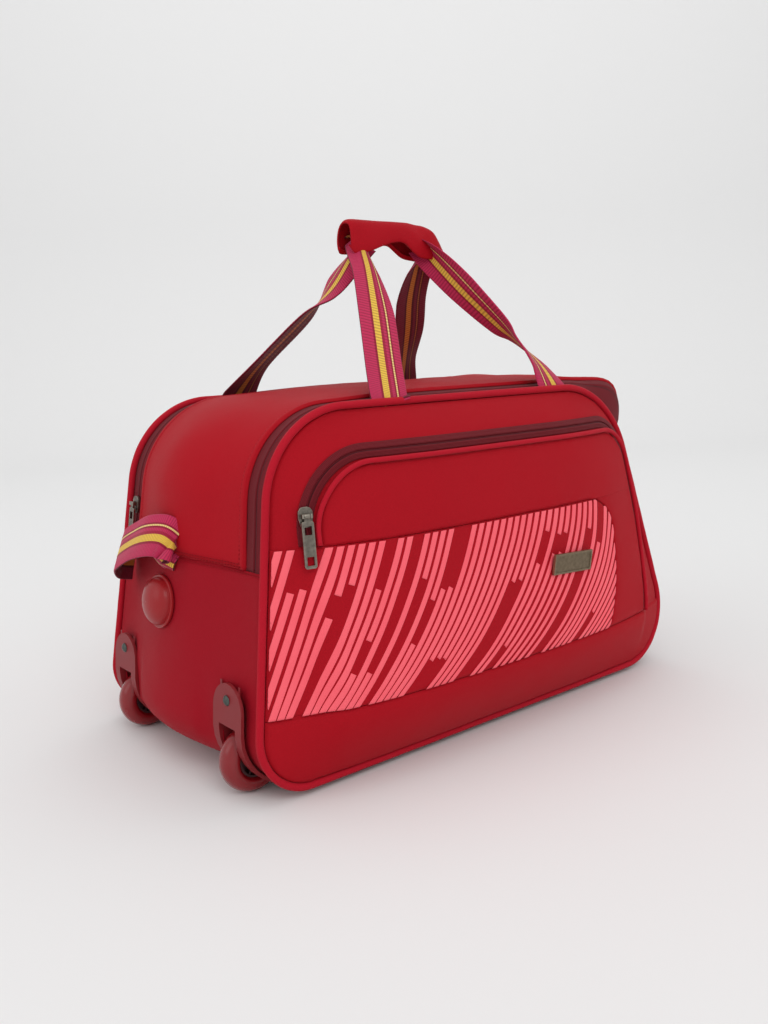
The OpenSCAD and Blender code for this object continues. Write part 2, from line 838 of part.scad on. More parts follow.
// Tray that frames the tubes' mouths and takes the stowed grip: a back plate in blocks
// around the tubes, and four rim bars
rim_y = 5;
rim_z = 3;
module pull_bezel() {
  hole_y = tube_w / 2 + 2 * hair;
  hole_z = tube_h / 2 + 2 * hair;
  depth = tray_x - bezel_x;
  rim = half_length - 6 - tray_x - hair;
  outer = tube_y + hole_y + hair;
  color(black) {
    translate([bezel_x, -(tube_y - hole_y - hair), bezel_z])
      cube([depth, 2 * (tube_y - hole_y - hair), bezel_h]);
    for (y = [-bezel_w / 2, outer])
      translate([bezel_x, y, bezel_z])
        cube([depth, bezel_w / 2 - outer, bezel_h]);
    for (s = [-1, 1])
      translate([bezel_x, s * tube_y - hole_y, 0]) {
        translate([0, 0, bezel_z])
          cube([depth, 2 * hole_y, tube_z - hole_z - bezel_z]);
        translate([0, 0, tube_z + hole_z])
          cube([depth, 2 * hole_y, bezel_z + bezel_h - tube_z - hole_z]);
      }
    for (z = [bezel_z, bezel_z + bezel_h - rim_z])
      translate([tray_x + hair, -bezel_w / 2, z])
        cube([rim, bezel_w, rim_z]);
    for (y = [-bezel_w / 2, bezel_w / 2 - rim_y])
      translate([tray_x + hair, y, bezel_z + rim_z + hair])
        cube([rim, rim_y, bezel_h - 2 * rim_z - 2 * hair]);
  }
}

collar_t = 3;
inner_w = middle_w - 2 * tube_wall - 2 * slide_gap;
inner_h = middle_h - 2 * tube_wall - 2 * slide_gap;
module middle_collars() {
  color(black)
    for (s = [-1, 1])
      difference() {
        translate([bezel_face, s * tube_y - middle_w / 2 - 1, tube_z - middle_h / 2 - 1])
          cube([collar_t, middle_w + 2, middle_h + 2]);
        translate([bezel_face - 1, s * tube_y - inner_w / 2 - slide_gap,
            tube_z - inner_h / 2 - slide_gap])
          cube([collar_t + 2, inner_w + 2 * slide_gap, inner_h + 2 * slide_gap]);
      }
}

grip_x = bezel_face + collar_t + gap;
grip_half = 66;
grip_h = 24;
module inner_tubes() {
  color(steel) tube_pair(tube_start + 12, grip_x + 8, inner_w, inner_h);
}

// Rounded rectangle with corners of radius r, as a list of points
function round_rect(w, h, r) =
  [for (k = [0:3]) let (c = [(k == 0 || k == 3 ? 1 : -1) * (w / 2 - r),
      (k < 2 ? 1 : -1) * (h / 2 - r)])
    for (i = [0:6]) c + r * [cos(90 * k + 15 * i), sin(90 * k + 15 * i)]];

button_l = 30;
button_w = 8;
button_travel = 3;
spring_r = 2.6;
module pull_grip() {
  grip_t = half_length - grip_x;
  middle = [grip_x + grip_t / 2, 0, tube_z];
  color(black)
    difference() {
      translate(middle)
        rotate([90, 0, 0])
          linear_extrude(2 * grip_half, center = true)
            polygon(round_rect(grip_t, grip_h, 4.5));
      for (s = [-1, 1])
        translate([grip_x - 1, s * tube_y - inner_w / 2, tube_z - inner_h / 2])
          cube([9, inner_w, inner_h]);
      translate([middle.x - button_w / 2 - gap, -button_l / 2 - gap, tube_z + 2])
        cube([button_w + 2 * gap, button_l + 2 * gap, 20]);
      translate([middle.x, 0, tube_z - 6])
        cylinder(r = spring_r + 1, h = 10, $fn = 48);
    }
}

button_low = tube_z + 2 + button_travel + 0.5;
module release_button() {
  color(gunmetal)
    translate([(grip_x + half_length) / 2, 0, button_low])
      linear_extrude(tube_z + grip_h / 2 + 1.5 - button_low)
        polygon(round_rect(button_w, button_l, 3));
}

// Coil spring between the bottom of its bore and the button
spring_low = tube_z - 6;
module release_spring() {
  wire = 0.35;
  turns = 6;
  steps = 12;
  length = button_low - spring_low - 2 * wire - 0.1;
  middle = [(grip_x + half_length) / 2, 0, spring_low + wire + 0.05];
  color(steel)
    skin([for (i = [0:turns * steps]) let (a = 360 * i / steps, u = [cos(a), sin(a), 0])
      ring(middle + spring_r * u + [0, 0, length * i / (turns * steps)], [0, 0, 1], u,
        wire, 6)]);
}

// ---------------------------------------------------------------- carry handle

wrap_z = wrap_top - wrap_r;
wrap_x = 0;

// Half tube along X, open below
module saddle(length, r, wall) {
  translate([wrap_x - length / 2, 0, wrap_z])
    rotate([90, 0, 90])
      linear_extrude(length)
        difference() {
          circle(r = r, $fn = 72);
          circle(r = r - wall, $fn = 72);
          translate([-2 * r, -2 * r])
            square([4 * r, 2 * r - 2]);
        }
}

module handle_wrap() {
  color(bag_red) saddle(wrap_len, wrap_r, 3);
}

// Ends of the carry webbing, laid over each other and stitched into one bar
core_low = 7;
module handle_core() {
  r = wrap_r - 3.3;
  color(webbing_pink)
    translate([wrap_x - wrap_len / 2 + 2, 0, wrap_z])
      rotate([90, 0, 90])
        linear_extrude(wrap_len - 4)
          difference() {
            circle(r = r, $fn = 72);
            translate([-2 * r, -2 * r])
              square([4 * r, 2 * r + core_low]);
          }
}

// Strap from a seam to the handle: a flat band through its middle points, whose width
// lies along the matching directions
module strap(middle, across) {
  n = len(middle) - 1;
  function unit(v) = v / norm(v);
  function along(i) = unit(middle[min(n, i + 1)] - middle[max(0, i - 1)]);
  skin([for (i = [0:n])
    let (u = unit(across[i]), v = unit(cross(along(i), u)) * webbing_t / 2,
         w = u * webbing_w / 2)
    [middle[i] - w - v, middle[i] - w + v, middle[i] + w + v, middle[i] + w - v]]);
}

strap_x = 106;
strap_z = bag_top + 4.5;
strap_y = depth_at(bag_top) + 2;

// Carry strap on the end sx and the face sy, which meets the handle at x = top_x
module carry_strap(sx, sy, top_x) {
  base = [sx * strap_x, sy * strap_y, strap_z];
  top = [top_x, sy * 8, wrap_z - 3];
  steps = 7;
  middle = [for (i = [0:steps]) let (t = i / steps)
    base + (top - base) * t + [sx * 6, sy * 9, 0] * sin(180 * t)];
  across = [for (i = [0:steps]) let (t = i / steps)
    [1, -sx * sy * 0.25 * t, -sx * 0.35 * t]];
  color(webbing_pink) strap(middle, across);
}

module front_left_strap() {
  carry_strap(-1, -1, -44);
}

module front_right_strap() {
  carry_strap(1, -1, 42);
}

module back_left_strap() {
  carry_strap(-1, 1, -40);
}

module back_right_strap() {
  carry_strap(1, 1, 46);
}

// Strap on the wheel end, to lift that end by: a flat loop that stands off the bag
grab_z = 196;
grab_low = -34;
grab_high = 84;
module grab_strap() {
  steps = 14;
  rise = 16;
  function end_point(y, o) = gusset_point([left_x(grab_z), grab_z, 180 - left_angle], y, o);
  function standoff(t) = 1.6 + rise * pow(sin(180 * t), 0.7);
  middle = [for (i = [0:steps]) let (t = i / steps)
    end_point(grab_low + (grab_high - grab_low) * t, standoff(t))];
  across = [for (i = [0:steps]) [sin(left_angle), 0, cos(left_angle)]];
  color(webbing_pink) strap(middle, across);
}

// ---------------------------------------------------------------- nodes

front_panel();
pocket_upper_panel();
pocket_side_panel();
stripe_panel();
bottom_band();
pocket_piping();
pocket_zip_tape();
front_piping();
back_piping();
back_panel();
top_gusset();
lower_gusset();
front_zip_tape();
back_zip_tape();
badge();
base_board();
base_feet();
end_foot();
front_wheel_housing();
back_wheel_housing();
housing_rivets();
front_axle();
back_axle();
front_tyre();
back_tyre();
front_hub();
back_hub();
front_bushes();
back_bushes();
pocket_slider();
pocket_pull_tab();
back_slider();
back_pull_tab();
front_slider();
front_pull_tab();
outer_tubes();
tube_end_blocks();
pull_bezel();
middle_tubes();
middle_collars();
inner_tubes();
pull_grip();
release_button();
release_spring();
handle_wrap();
handle_core();
front_left_strap();
front_right_strap();
back_left_strap();
back_right_strap();
grab_strap();
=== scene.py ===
"""Looks of the rolling duffel bag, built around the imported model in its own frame.

Lengths are millimetres and angles are degrees; to_mesh() turns lengths into metres. The lamps, the
camera and the depths of bumps are in metres.
X runs from the wheel end to the pull-handle end, the pocket face looks to -Y and Z is up.
"""
import math

import bpy
import numpy as np
from mathutils import Matrix, Vector


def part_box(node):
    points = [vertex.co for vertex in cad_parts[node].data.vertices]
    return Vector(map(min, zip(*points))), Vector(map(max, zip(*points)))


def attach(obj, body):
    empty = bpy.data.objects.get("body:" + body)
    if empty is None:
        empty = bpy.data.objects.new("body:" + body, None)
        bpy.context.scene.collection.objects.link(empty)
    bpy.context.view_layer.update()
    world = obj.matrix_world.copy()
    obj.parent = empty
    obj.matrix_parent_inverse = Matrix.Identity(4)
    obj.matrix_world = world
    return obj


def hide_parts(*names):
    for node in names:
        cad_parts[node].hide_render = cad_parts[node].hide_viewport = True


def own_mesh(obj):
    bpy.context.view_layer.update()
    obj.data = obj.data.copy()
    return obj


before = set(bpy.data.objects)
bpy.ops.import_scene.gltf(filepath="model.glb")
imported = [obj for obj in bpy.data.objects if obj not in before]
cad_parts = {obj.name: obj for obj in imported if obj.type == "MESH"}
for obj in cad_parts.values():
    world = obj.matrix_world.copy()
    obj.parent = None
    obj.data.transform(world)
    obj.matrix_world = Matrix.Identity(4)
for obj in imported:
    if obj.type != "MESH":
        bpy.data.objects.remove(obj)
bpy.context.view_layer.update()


def cad_box(node):
    """Lowest and highest corner of a CAD node, in millimetres."""
    low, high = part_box(node)
    return np.array(low) * 1000, np.array(high) * 1000


# ------------ outline of the bag

BASE_LEFT, BASE_RIGHT, TOP_LEFT, TOP_RIGHT = 273.0, 290.0, 229.0, 199.0
FLOOR, TOP = 8.5, 318.0
HALF_DEPTH, FACE_LEAN = 141.0, 0.0767
R_BL, R_BR, R_TR, R_TL = 46.0, 62.0, 96.0, 85.0
FRONT_CROWN, BACK_CROWN = 38.0, 46.6
TOP_BULGE, END_BULGE = 10.0, 20.0
CORNER_SWELL, CORNER_DRAW, CORNER_Z = 51.0, 15.0, 285.0
ZIP_END = 189.0
PIPING_R = 3.4
TAPE_W = 25.0
GUSSET_START = PIPING_R + 0.3


def cosd(a):
    return np.cos(np.radians(a))


def sind(a):
    return np.sin(np.radians(a))


def smooth(t):
    """Ease from 0 to 1."""
    t = np.clip(t, 0, 1)
    return t * t * (3 - 2 * t)


def lean(base, top):
    """Angle by which a side of the bag leans inwards."""
    return math.degrees(math.atan((base - top) / (TOP - FLOOR)))


def side_line(z, base, top):
    """Distance from x = 0 of a side's straight line at height z."""
    return base - (base - top) * (z - FLOOR) / (TOP - FLOOR)


LEFT_ANGLE, RIGHT_ANGLE = lean(BASE_LEFT, TOP_LEFT), lean(BASE_RIGHT, TOP_RIGHT)


def depth_at(z):
    """Half depth of the bag at height z."""
    return HALF_DEPTH - FACE_LEAN * z


def side_x(z, base, top, r_low, r_up, inset):
    """Distance of a sloping side with rounded ends from x = 0, drawn in by inset."""
    z, angle = np.asarray(z, float), lean(base, top)

    def round_end(centre_z, r):
        reach = np.maximum(0, (r - inset) ** 2 - (z - centre_z) ** 2)
        return side_line(centre_z, base, top) - r / cosd(angle) + np.sqrt(reach)

    low_z, up_z = FLOOR + r_low, TOP - r_up
    straight = side_line(z, base, top) - inset / cosd(angle)
    x = np.where(z < low_z + (r_low - inset) * sind(angle), round_end(low_z, r_low), straight)
    return np.where(z > up_z + (r_up - inset) * sind(angle), round_end(up_z, r_up), x)


def left_x(z, inset=0.0):
    return -side_x(z, BASE_LEFT, TOP_LEFT, R_BL, R_TL, inset)


def right_x(z, inset=0.0):
    return side_x(z, BASE_RIGHT, TOP_RIGHT, R_BR, R_TR, inset)


def crown_at(x, z, crown):
    """Swell of a face, from 0 at its seam to crown in the middle."""
    left, right = left_x(z), right_x(z)
    u = (2 * x - left - right) / (right - left)
    w = (2 * z - FLOOR - TOP) / (TOP - FLOOR)
    return crown * (1 - np.minimum(1, abs(u)) ** 3.2) * (1 - np.minimum(1, abs(w)) ** 4)


def corner_centre(z, base, top, r, side):
    return side * (side_line(z, base, top) - r / cosd(lean(base, top))), z


def arc(centre, r, start, end, steps=24):
    """Path around centre. A path has the columns x, z and the angle that it faces."""
    angle = np.linspace(start, end, steps + 1)
    return np.stack([centre[0] + r * cosd(angle), centre[1] + r * sind(angle), angle], 1)


def arc_length(points):
    """Length along a line of points, up to each of them."""
    return np.concatenate([[0], np.cumsum(np.linalg.norm(np.diff(points, axis=0), axis=1))])


def resample(path, pitch):
    """The same path with points an even pitch apart. Columns after the second ride along."""
    length = arc_length(path[:, :2])
    keep = np.concatenate([[True], np.diff(length) > 1e-6])
    steps = max(2, round(length[-1] / pitch))
    s = np.linspace(0, length[-1], steps + 1)
    return np.stack([np.interp(s, length[keep], c[keep]) for c in path.T], 1)


C_BL = corner_centre(FLOOR + R_BL, BASE_LEFT, TOP_LEFT, R_BL, -1)
C_BR = corner_centre(FLOOR + R_BR, BASE_RIGHT, TOP_RIGHT, R_BR, 1)
C_TR = corner_centre(TOP - R_TR, BASE_RIGHT, TOP_RIGHT, R_TR, 1)
C_TL = corner_centre(TOP - R_TL, BASE_LEFT, TOP_LEFT, R_TL, -1)
ZIP_RIGHT = np.array([[float(right_x(ZIP_END)), ZIP_END, RIGHT_ANGLE]])
ZIP_LEFT = np.array([[float(left_x(ZIP_END)), ZIP_END, 180 - LEFT_ANGLE]])
OVER = np.concatenate([ZIP_RIGHT, arc(C_TR, R_TR, RIGHT_ANGLE, 90),
                       arc(C_TL, R_TL, 90, 180 - LEFT_ANGLE), ZIP_LEFT])
UNDER = np.concatenate([ZIP_LEFT, arc(C_BL, R_BL, 180 - LEFT_ANGLE, 270),
                        arc(C_BR, R_BR, 270, 360 + RIGHT_ANGLE),
                        ZIP_RIGHT + [[0, 0, 360]]])
LOOP = np.concatenate([OVER[:-1], UNDER[:-1]])


# ------------ mesh helpers

rng = np.random.default_rng(7)
NOISE_SIZE = 64
NOISE_TABLE = rng.random((NOISE_SIZE, NOISE_SIZE)) * 2 - 1


def noise(x, y, scale, shift=0):
    """Smooth noise from -1 to 1 with features about scale millimetres across."""
    x, y = np.asarray(x, float) / scale + 3.7 * shift, np.asarray(y, float) / scale + 9.1 * shift
    i, j = np.floor(x).astype(int), np.floor(y).astype(int)
    u, v = smooth(x - i), smooth(y - j)

    def at(a, b):
        return NOISE_TABLE[(i + a) % NOISE_SIZE, (j + b) % NOISE_SIZE]

    low = at(0, 0) * (1 - u) + at(1, 0) * u
    return low * (1 - v) + (at(0, 1) * (1 - u) + at(1, 1) * u) * v


def to_mesh(name, points, faces, uv=None):
    """Mesh object from points in millimetres. uv is one pair per point, in millimetres of cloth."""
    mesh = bpy.data.meshes.new(name)
    mesh.from_pydata((np.asarray(points, float) / 1000).tolist(), [], faces)
    mesh.polygons.foreach_set("use_smooth", [True] * len(mesh.polygons))
    if uv is not None:
        layer = mesh.uv_layers.new(name="cloth")
        index = np.zeros(len(mesh.loops), int)
        mesh.loops.foreach_get("vertex_index", index)
        layer.data.foreach_set("uv", np.asarray(uv, np.float32)[index].ravel())
    mesh.update()
    piece = bpy.data.objects.new(name, mesh)
    bpy.context.scene.collection.objects.link(piece)
    return piece


def grid_faces(rows, cols, loop_rows=False, loop_cols=False):
    """Quads over rows and columns of points. A loop joins the last row or column to the first."""
    i, j = np.meshgrid(np.arange(rows if loop_rows else rows - 1),
                       np.arange(cols if loop_cols else cols - 1), indexing="ij")
    a, b = i * cols + j, ((i + 1) % rows) * cols + j
    c, d = ((i + 1) % rows) * cols + (j + 1) % cols, i * cols + (j + 1) % cols
    return np.stack([a, b, c, d], -1).reshape(-1, 4).tolist()


def grid_uv(grid):
    """Cloth coordinates that follow the arc length along the rows and columns of a grid."""
    down = np.linalg.norm(np.diff(grid, axis=0), axis=2).mean(1)
    across = np.linalg.norm(np.diff(grid, axis=1), axis=2).mean(0)
    v = np.concatenate([[0], np.cumsum(down)])
    u = np.concatenate([[0], np.cumsum(across)])
    return np.stack(np.meshgrid(u, v), -1).reshape(-1, 2)


def cloth_grid(name, grid, flip=False, thickness=1.0, keep=None):
    """Sheet of cloth over a grid of points, with a real thickness under its outer side."""
    rows, cols = grid.shape[:2]
    faces = grid_faces(rows, cols)
    if keep is not None:
        faces = [f for f, k in zip(faces, keep.ravel()) if k]
    if flip:
        faces = [f[::-1] for f in faces]
    piece = to_mesh(name, grid.reshape(-1, 3), faces, grid_uv(grid))
    solid = piece.modifiers.new("thickness", "SOLIDIFY")
    solid.thickness = thickness / 1000
    solid.offset = -1
    return piece


def edge_steps(width, interior, edge):
    """Steps across a width that are fine at both edges."""
    inner = np.linspace(edge[-1], width - edge[-1], interior)
    return np.concatenate([edge[:-1], inner, width - np.array(edge[:-1])[::-1]])


def unit(v):
    return v / np.maximum(1e-12, np.linalg.norm(v, axis=-1, keepdims=True))


def tube(name, centre, out, radius, sides, closed=False):
    """Tube along centre. out is the direction of its first side."""
    centre, out = np.asarray(centre, float), np.asarray(out, float)
    if closed:
        along = unit(np.roll(centre, -1, 0) - np.roll(centre, 1, 0))
    else:
        along = unit(np.gradient(centre, axis=0))
    out = unit(out - along * (out * along).sum(1, keepdims=True))
    side = np.cross(along, out)
    turn = np.radians(np.arange(sides) * 360 / sides)[None, :, None]
    radius = np.broadcast_to(radius, len(centre))[:, None, None]
    rings = centre[:, None] + radius * (np.cos(turn) * out[:, None] + np.sin(turn) * side[:, None])
    faces = [f[::-1] for f in grid_faces(len(centre), sides, loop_rows=closed, loop_cols=True)]
    around = np.arange(sides) * 2 * math.pi * float(np.mean(radius)) / sides
    uv = np.stack(np.meshgrid(around, arc_length(centre)), -1).reshape(-1, 2)
    if not closed:
        last = (len(centre) - 1) * sides
        faces.append(list(range(sides))[::-1])
        faces.append([last + j for j in range(sides)])
    return to_mesh(name, rings.reshape(-1, 3), faces, uv)


STITCH_LENGTH, STITCH_PITCH, THREAD_R = 2.6, 3.6, 0.42
# One stitch from end to end: share of its length, share of its thickness
STITCH_SHAPE = [(-0.5, 0.25), (-0.32, 0.8), (0, 1), (0.32, 0.8), (0.5, 0.25)]


def stitches(name, line, out):
    """Row of stitches along a line that lies on the cloth. out is the cloth's normal."""
    s = arc_length(line)
    at = np.arange(STITCH_PITCH / 2, s[-1], STITCH_PITCH)

    def pick(values, length):
        return np.stack([np.interp(length, s, c) for c in values.T], 1)

    centre, normal = pick(line, at), unit(pick(out, at))
    along = unit(pick(line, at + 0.5) - pick(line, at - 0.5))
    side = np.cross(normal, along)
    rings = []
    for t, share in STITCH_SHAPE:
        r = share * THREAD_R
        for a in np.radians(np.arange(6) * 60):
            rings.append(centre + along * t * STITCH_LENGTH + normal * (0.5 + math.cos(a)) * r
                         + side * math.sin(a) * r)
    points = np.stack(rings, 1)
    count, each = points.shape[:2]
    one = grid_faces(len(STITCH_SHAPE), 6, loop_cols=True)
    one += [[0, 1, 2, 3, 4, 5], [each - 1 - j for j in range(6)]]
    faces = [[i * each + k for k in f] for i in range(count) for f in one]
    return to_mesh(name, points.reshape(-1, 3), faces)


def spline(points, count):
    """Smooth curve through given points, in any number of columns."""
    p = np.asarray(points, float)
    p = np.concatenate([[2 * p[0] - p[1]], p, [2 * p[-1] - p[-2]]])
    t = np.linspace(0, len(p) - 3, count)
    i = np.minimum(t.astype(int), len(p) - 4)
    u = (t - i)[:, None]
    a, b, c, d = p[i], p[i + 1], p[i + 2], p[i + 3]
    return 0.5 * (2 * b + (c - a) * u + (2 * a - 5 * b + 4 * c - d) * u ** 2
                  + (3 * b - a - 3 * c + d) * u ** 3)


# ------------ materials

class Nodes:
    """Short way to add and join the nodes of one material."""

    def __init__(self, name):
        self.material = bpy.data.materials.new(name)
        self.material.use_nodes = True
        self.tree = self.material.node_tree
        self.shader = self.tree.nodes["Principled BSDF"]

    def add(self, kind, **inputs):
        node = self.tree.nodes.new("ShaderNode" + kind)
        for key, value in inputs.items():
            key = key.replace("_", " ")
            if key in node.inputs:
                self.put(node.inputs[key], value)
            else:
                setattr(node, key.replace(" ", "_"), value)
        return node

    def put(self, socket, value):
        if isinstance(value, bpy.types.NodeSocket):
            self.tree.links.new(value, socket)
        else:
            socket.default_value = value

    def math(self, operation, a, b=0.0, c=0.0):
        node = self.tree.nodes.new("ShaderNodeMath")
        node.operation = operation
        for socket, value in zip(node.inputs, (a, b, c)):
            self.put(socket, value)
        return node.outputs[0]

    def mix(self, factor, a, b):
        node = self.tree.nodes.new("ShaderNodeMix")
        node.data_type = "RGBA"
        self.put(node.inputs[0], factor)
        self.put(node.inputs[6], a)
        self.put(node.inputs[7], b)
        return node.outputs[2]

    def noise(self, vector, scale, detail=2.0):
        node = self.add("TexNoise", Vector=vector, Scale=scale, Detail=detail)
        return node.outputs[0]

    def place(self):
        """Position in the shared frame, in metres."""
        return self.add("TexCoord").outputs["Object"]

    def cloth(self):
        """Cloth coordinates across and along a piece, in millimetres."""
        split = self.add("SeparateXYZ", Vector=self.add("TexCoord").outputs["UV"])
        return split.outputs[0], split.outputs[1]

    def wave(self, x, pitch):
        """Sine from 0 to 1 of a coordinate in millimetres."""
        turn = self.math("MULTIPLY", x, 2 * math.pi / pitch)
        return self.math("MULTIPLY_ADD", self.math("SINE", turn), 0.5, 0.5)

    def bump(self, height, distance, strength=1.0, under=None):
        node = self.add("Bump", Height=height, Distance=distance, Strength=strength)
        if under is not None:
            self.put(node.inputs["Normal"], under)
        return node.outputs[0]

    def finish(self, **values):
        for key, value in values.items():
            self.put(self.shader.inputs[key.replace("_", " ")], value)
        return self.material


def rgb(*c):
    """Linear colour from 8-bit sRGB."""
    linear = [((v / 255 + 0.055) / 1.055) ** 2.4 if v > 10 else v / 255 / 12.92 for v in c]
    return (*linear, 1.0)


def fabric(name, colour, shade, weave=0.72, sheen=0.05):
    """Woven polyester: two sets of yarns, cloudy colour and a soft sheen."""
    n = Nodes(name)
    across, along = n.cloth()
    warp, weft = n.wave(across, weave), n.wave(along, weave)
    yarn = n.math("MULTIPLY", warp, weft)
    where = n.place()
    cloud = n.noise(where, 9.0, 3.0)
    fleck = n.noise(where, 900.0, 1.0)
    dark = n.math("MULTIPLY_ADD", yarn, 0.25, n.math("MULTIPLY", fleck, 0.5))
    base = n.mix(dark, shade, colour)
    base = n.mix(n.math("MULTIPLY", cloud, 0.35), base, colour)
    crease = n.bump(n.noise(where, 55.0, 3.0), 0.0011, 0.35)
    height = n.math("MULTIPLY_ADD", fleck, 0.35, yarn)
    rough = n.math("MULTIPLY_ADD", cloud, 0.15, 0.58)
    n.finish(Base_Color=base, Roughness=rough, Normal=n.bump(height, 0.00009, 0.8, crease),
             Sheen_Weight=sheen, Sheen_Roughness=0.4, Specular_IOR_Level=0.1)
    n.shader.inputs["Sheen Tint"].default_value = (1, 0.5, 0.5, 1)
    return n.material


bag_red = fabric("bag_red", rgb(190, 16, 34), rgb(148, 6, 20))
base_red = fabric("base_red", rgb(174, 16, 36), rgb(134, 6, 22))
piping_red = fabric("piping_red", rgb(200, 26, 48), rgb(160, 12, 30), weave=0.6, sheen=0.08)
thread_red = fabric("thread_red", rgb(150, 16, 28), rgb(110, 6, 16), weave=0.5)


def zip_material(name, width):
    """Zip tape with fine ribs along it and painted shade darkening the slit down the middle."""
    n = Nodes(name)
    across, along = n.cloth()
    ribs = n.wave(across, 1.15)
    chevron = n.wave(n.math("ADD", along, n.math("MULTIPLY", across, 0.8)), 1.3)
    knit = n.math("MULTIPLY", ribs, chevron)
    off = n.math("ABSOLUTE", n.math("SUBTRACT", across, width / 2))
    slit = n.math("SUBTRACT", 1.0, n.math("SMOOTH_MIN", n.math("DIVIDE", off, 0.7), 1.0, 0.3))
    base = n.mix(knit, rgb(94, 18, 26), rgb(136, 34, 44))
    # Painted shade: the slit between the two lips is darkened nearly to black.
    base = n.mix(n.math("MAXIMUM", slit, 0.0), base, rgb(34, 8, 14))
    n.finish(Base_Color=base, Roughness=0.72, Normal=n.bump(knit, 0.00018, 0.9),
             Sheen_Weight=0.05, Specular_IOR_Level=0.12)
    return n.material


def print_material():
    """Raised rubbery print, coral and slightly uneven."""
    n = Nodes("print_coral")
    where = n.place()
    grain = n.noise(where, 700.0, 2.0)
    cloud = n.noise(where, 22.0, 2.0)
    base = n.mix(cloud, rgb(246, 84, 98), rgb(255, 106, 118))
    n.finish(Base_Color=base, Roughness=n.math("MULTIPLY_ADD", grain, 0.2, 0.42),
             Normal=n.bump(grain, 0.00012, 0.6), Specular_IOR_Level=0.4)
    return n.material


WEBBING_W, RIB_PITCH = 39.0, 2.0
# Bands of the webbing across its width: where each ends, and its colours on each side
WEBBING_BANDS = [
    (11.5, rgb(206, 46, 92), rgb(124, 28, 48)), (13.7, rgb(160, 24, 58), rgb(90, 16, 30)),
    (20.3, rgb(250, 206, 80), rgb(204, 122, 46)), (23.2, rgb(176, 28, 64), rgb(90, 16, 30)),
    (26.2, rgb(206, 46, 92), rgb(124, 28, 48)), (27.9, rgb(160, 24, 58), rgb(90, 16, 30)),
    (29.4, rgb(255, 222, 140), rgb(170, 96, 50)), (31.0, rgb(160, 24, 58), rgb(90, 16, 30)),
    (WEBBING_W, rgb(206, 46, 92), rgb(124, 28, 48))]


def webbing_material(name, side):
    """Ribbed webbing with its coloured bands, on its right side (1) or its reverse (2)."""
    n = Nodes(name)
    across, along = n.cloth()
    base = WEBBING_BANDS[0][side]
    for (end, *_), band in zip(WEBBING_BANDS, WEBBING_BANDS[1:]):
        base = n.mix(n.math("GREATER_THAN", across, end), base, band[side])
    valley = n.wave(n.math("ADD", along, RIB_PITCH / 4), RIB_PITCH)
    warp = n.wave(across, 0.8)
    yarn = n.math("MULTIPLY_ADD", n.wave(along, RIB_PITCH / 2), 0.6, n.math("MULTIPLY", warp, 0.4))
    fleck = n.noise(n.place(), 1100.0, 1.0)
    # Painted shade in the valleys between the ribs, plus random darker flecks of tone.
    valley_shade_and_fleck = n.math("MULTIPLY_ADD", n.math("MULTIPLY", valley, valley), 0.4,
                    n.math("MULTIPLY", fleck, 0.25))
    base = n.mix(valley_shade_and_fleck, base, rgb(90, 10, 34) if side == 1 else rgb(34, 6, 12))
    n.finish(Base_Color=base, Roughness=0.62, Normal=n.bump(yarn, 0.00022, 0.8),
             Sheen_Weight=0.1, Sheen_Roughness=0.4, Specular_IOR_Level=0.2)
    return n.material


def plastic(name, colour, roughness, grain=0.00008, coat=0.0, specular=0.5):
    """Moulded plastic with a fine grain, faint clouding and duller worn patches."""
    n = Nodes(name)
    where = n.place()
    texture = n.noise(where, 1400.0, 1.0)
    cloud = n.noise(where, 30.0, 3.0)
    dull = tuple(0.8 * v for v in colour[:3]) + (1.0,)
    n.finish(Base_Color=n.mix(cloud, dull, colour),
             Roughness=n.math("MULTIPLY_ADD", cloud, 0.14, roughness - 0.07),
             Normal=n.bump(texture, grain, 0.5), Coat_Weight=coat, Coat_Roughness=0.12,
             Specular_IOR_Level=specular)
    return n.material


def metal(name, colour, worn, roughness, scratch=260.0):
    """Plated metal: darker in its hollows, worn bright on top, finely scratched."""
    n = Nodes(name)
    where = n.place()
    patina = n.noise(where, 320.0, 3.0)
    stretch = n.add("Mapping", Vector=where)
    stretch.inputs["Scale"].default_value = (1, 1, 14)
    scratches = n.noise(stretch.outputs[0], scratch, 2.0)
    edge = n.add("NewGeometry").outputs["Pointiness"]
    bright = n.math("MULTIPLY", n.math("SUBTRACT", edge, 0.5), 9.0)
    blend = n.math("ADD", n.math("MULTIPLY", patina, 0.75), n.math("MAXIMUM", bright, 0.0))
    blend.node.use_clamp = True
    n.finish(Base_Color=n.mix(blend, colour, worn), Metallic=1.0,
             Roughness=n.math("MULTIPLY_ADD", scratches, 0.22, roughness - 0.1),
             Normal=n.bump(scratches, 0.00005, 0.5))
    return n.material


zip_wide = zip_material("zip_tape_wide", TAPE_W)
POCKET_TAPE_W = 12.0
zip_narrow = zip_material("zip_tape_narrow", POCKET_TAPE_W)
print_coral = print_material()
webbing_right = webbing_material("webbing_right_side", 1)
webbing_reverse = webbing_material("webbing_reverse", 2)
housing_plastic = plastic("housing_plastic", rgb(138, 34, 40), 0.48, specular=0.3)
wheel_plastic = plastic("wheel_plastic", rgb(140, 20, 28), 0.26, 0.00002, 0.3, 0.35)
foot_plastic = plastic("foot_plastic", rgb(158, 22, 28), 0.38, 0.00002, 0.1, 0.3)
hub_plastic = plastic("hub_plastic", rgb(60, 16, 20), 0.5)
black_plastic = plastic("black_plastic", rgb(34, 34, 36), 0.55, grain=0.00015)
handle_plastic = plastic("handle_plastic", rgb(38, 38, 41), 0.42, grain=0.0001)
gunmetal = metal("gunmetal", rgb(52, 49, 45), rgb(160, 152, 140), 0.34)
bronze = metal("antique_bronze", rgb(92, 80, 64), rgb(150, 134, 110), 0.46)
rivet_metal = metal("rivet_metal", rgb(48, 54, 52), rgb(96, 102, 98), 0.4)
aluminium = metal("tube_aluminium", rgb(176, 178, 182), rgb(206, 208, 212), 0.3, scratch=500.0)
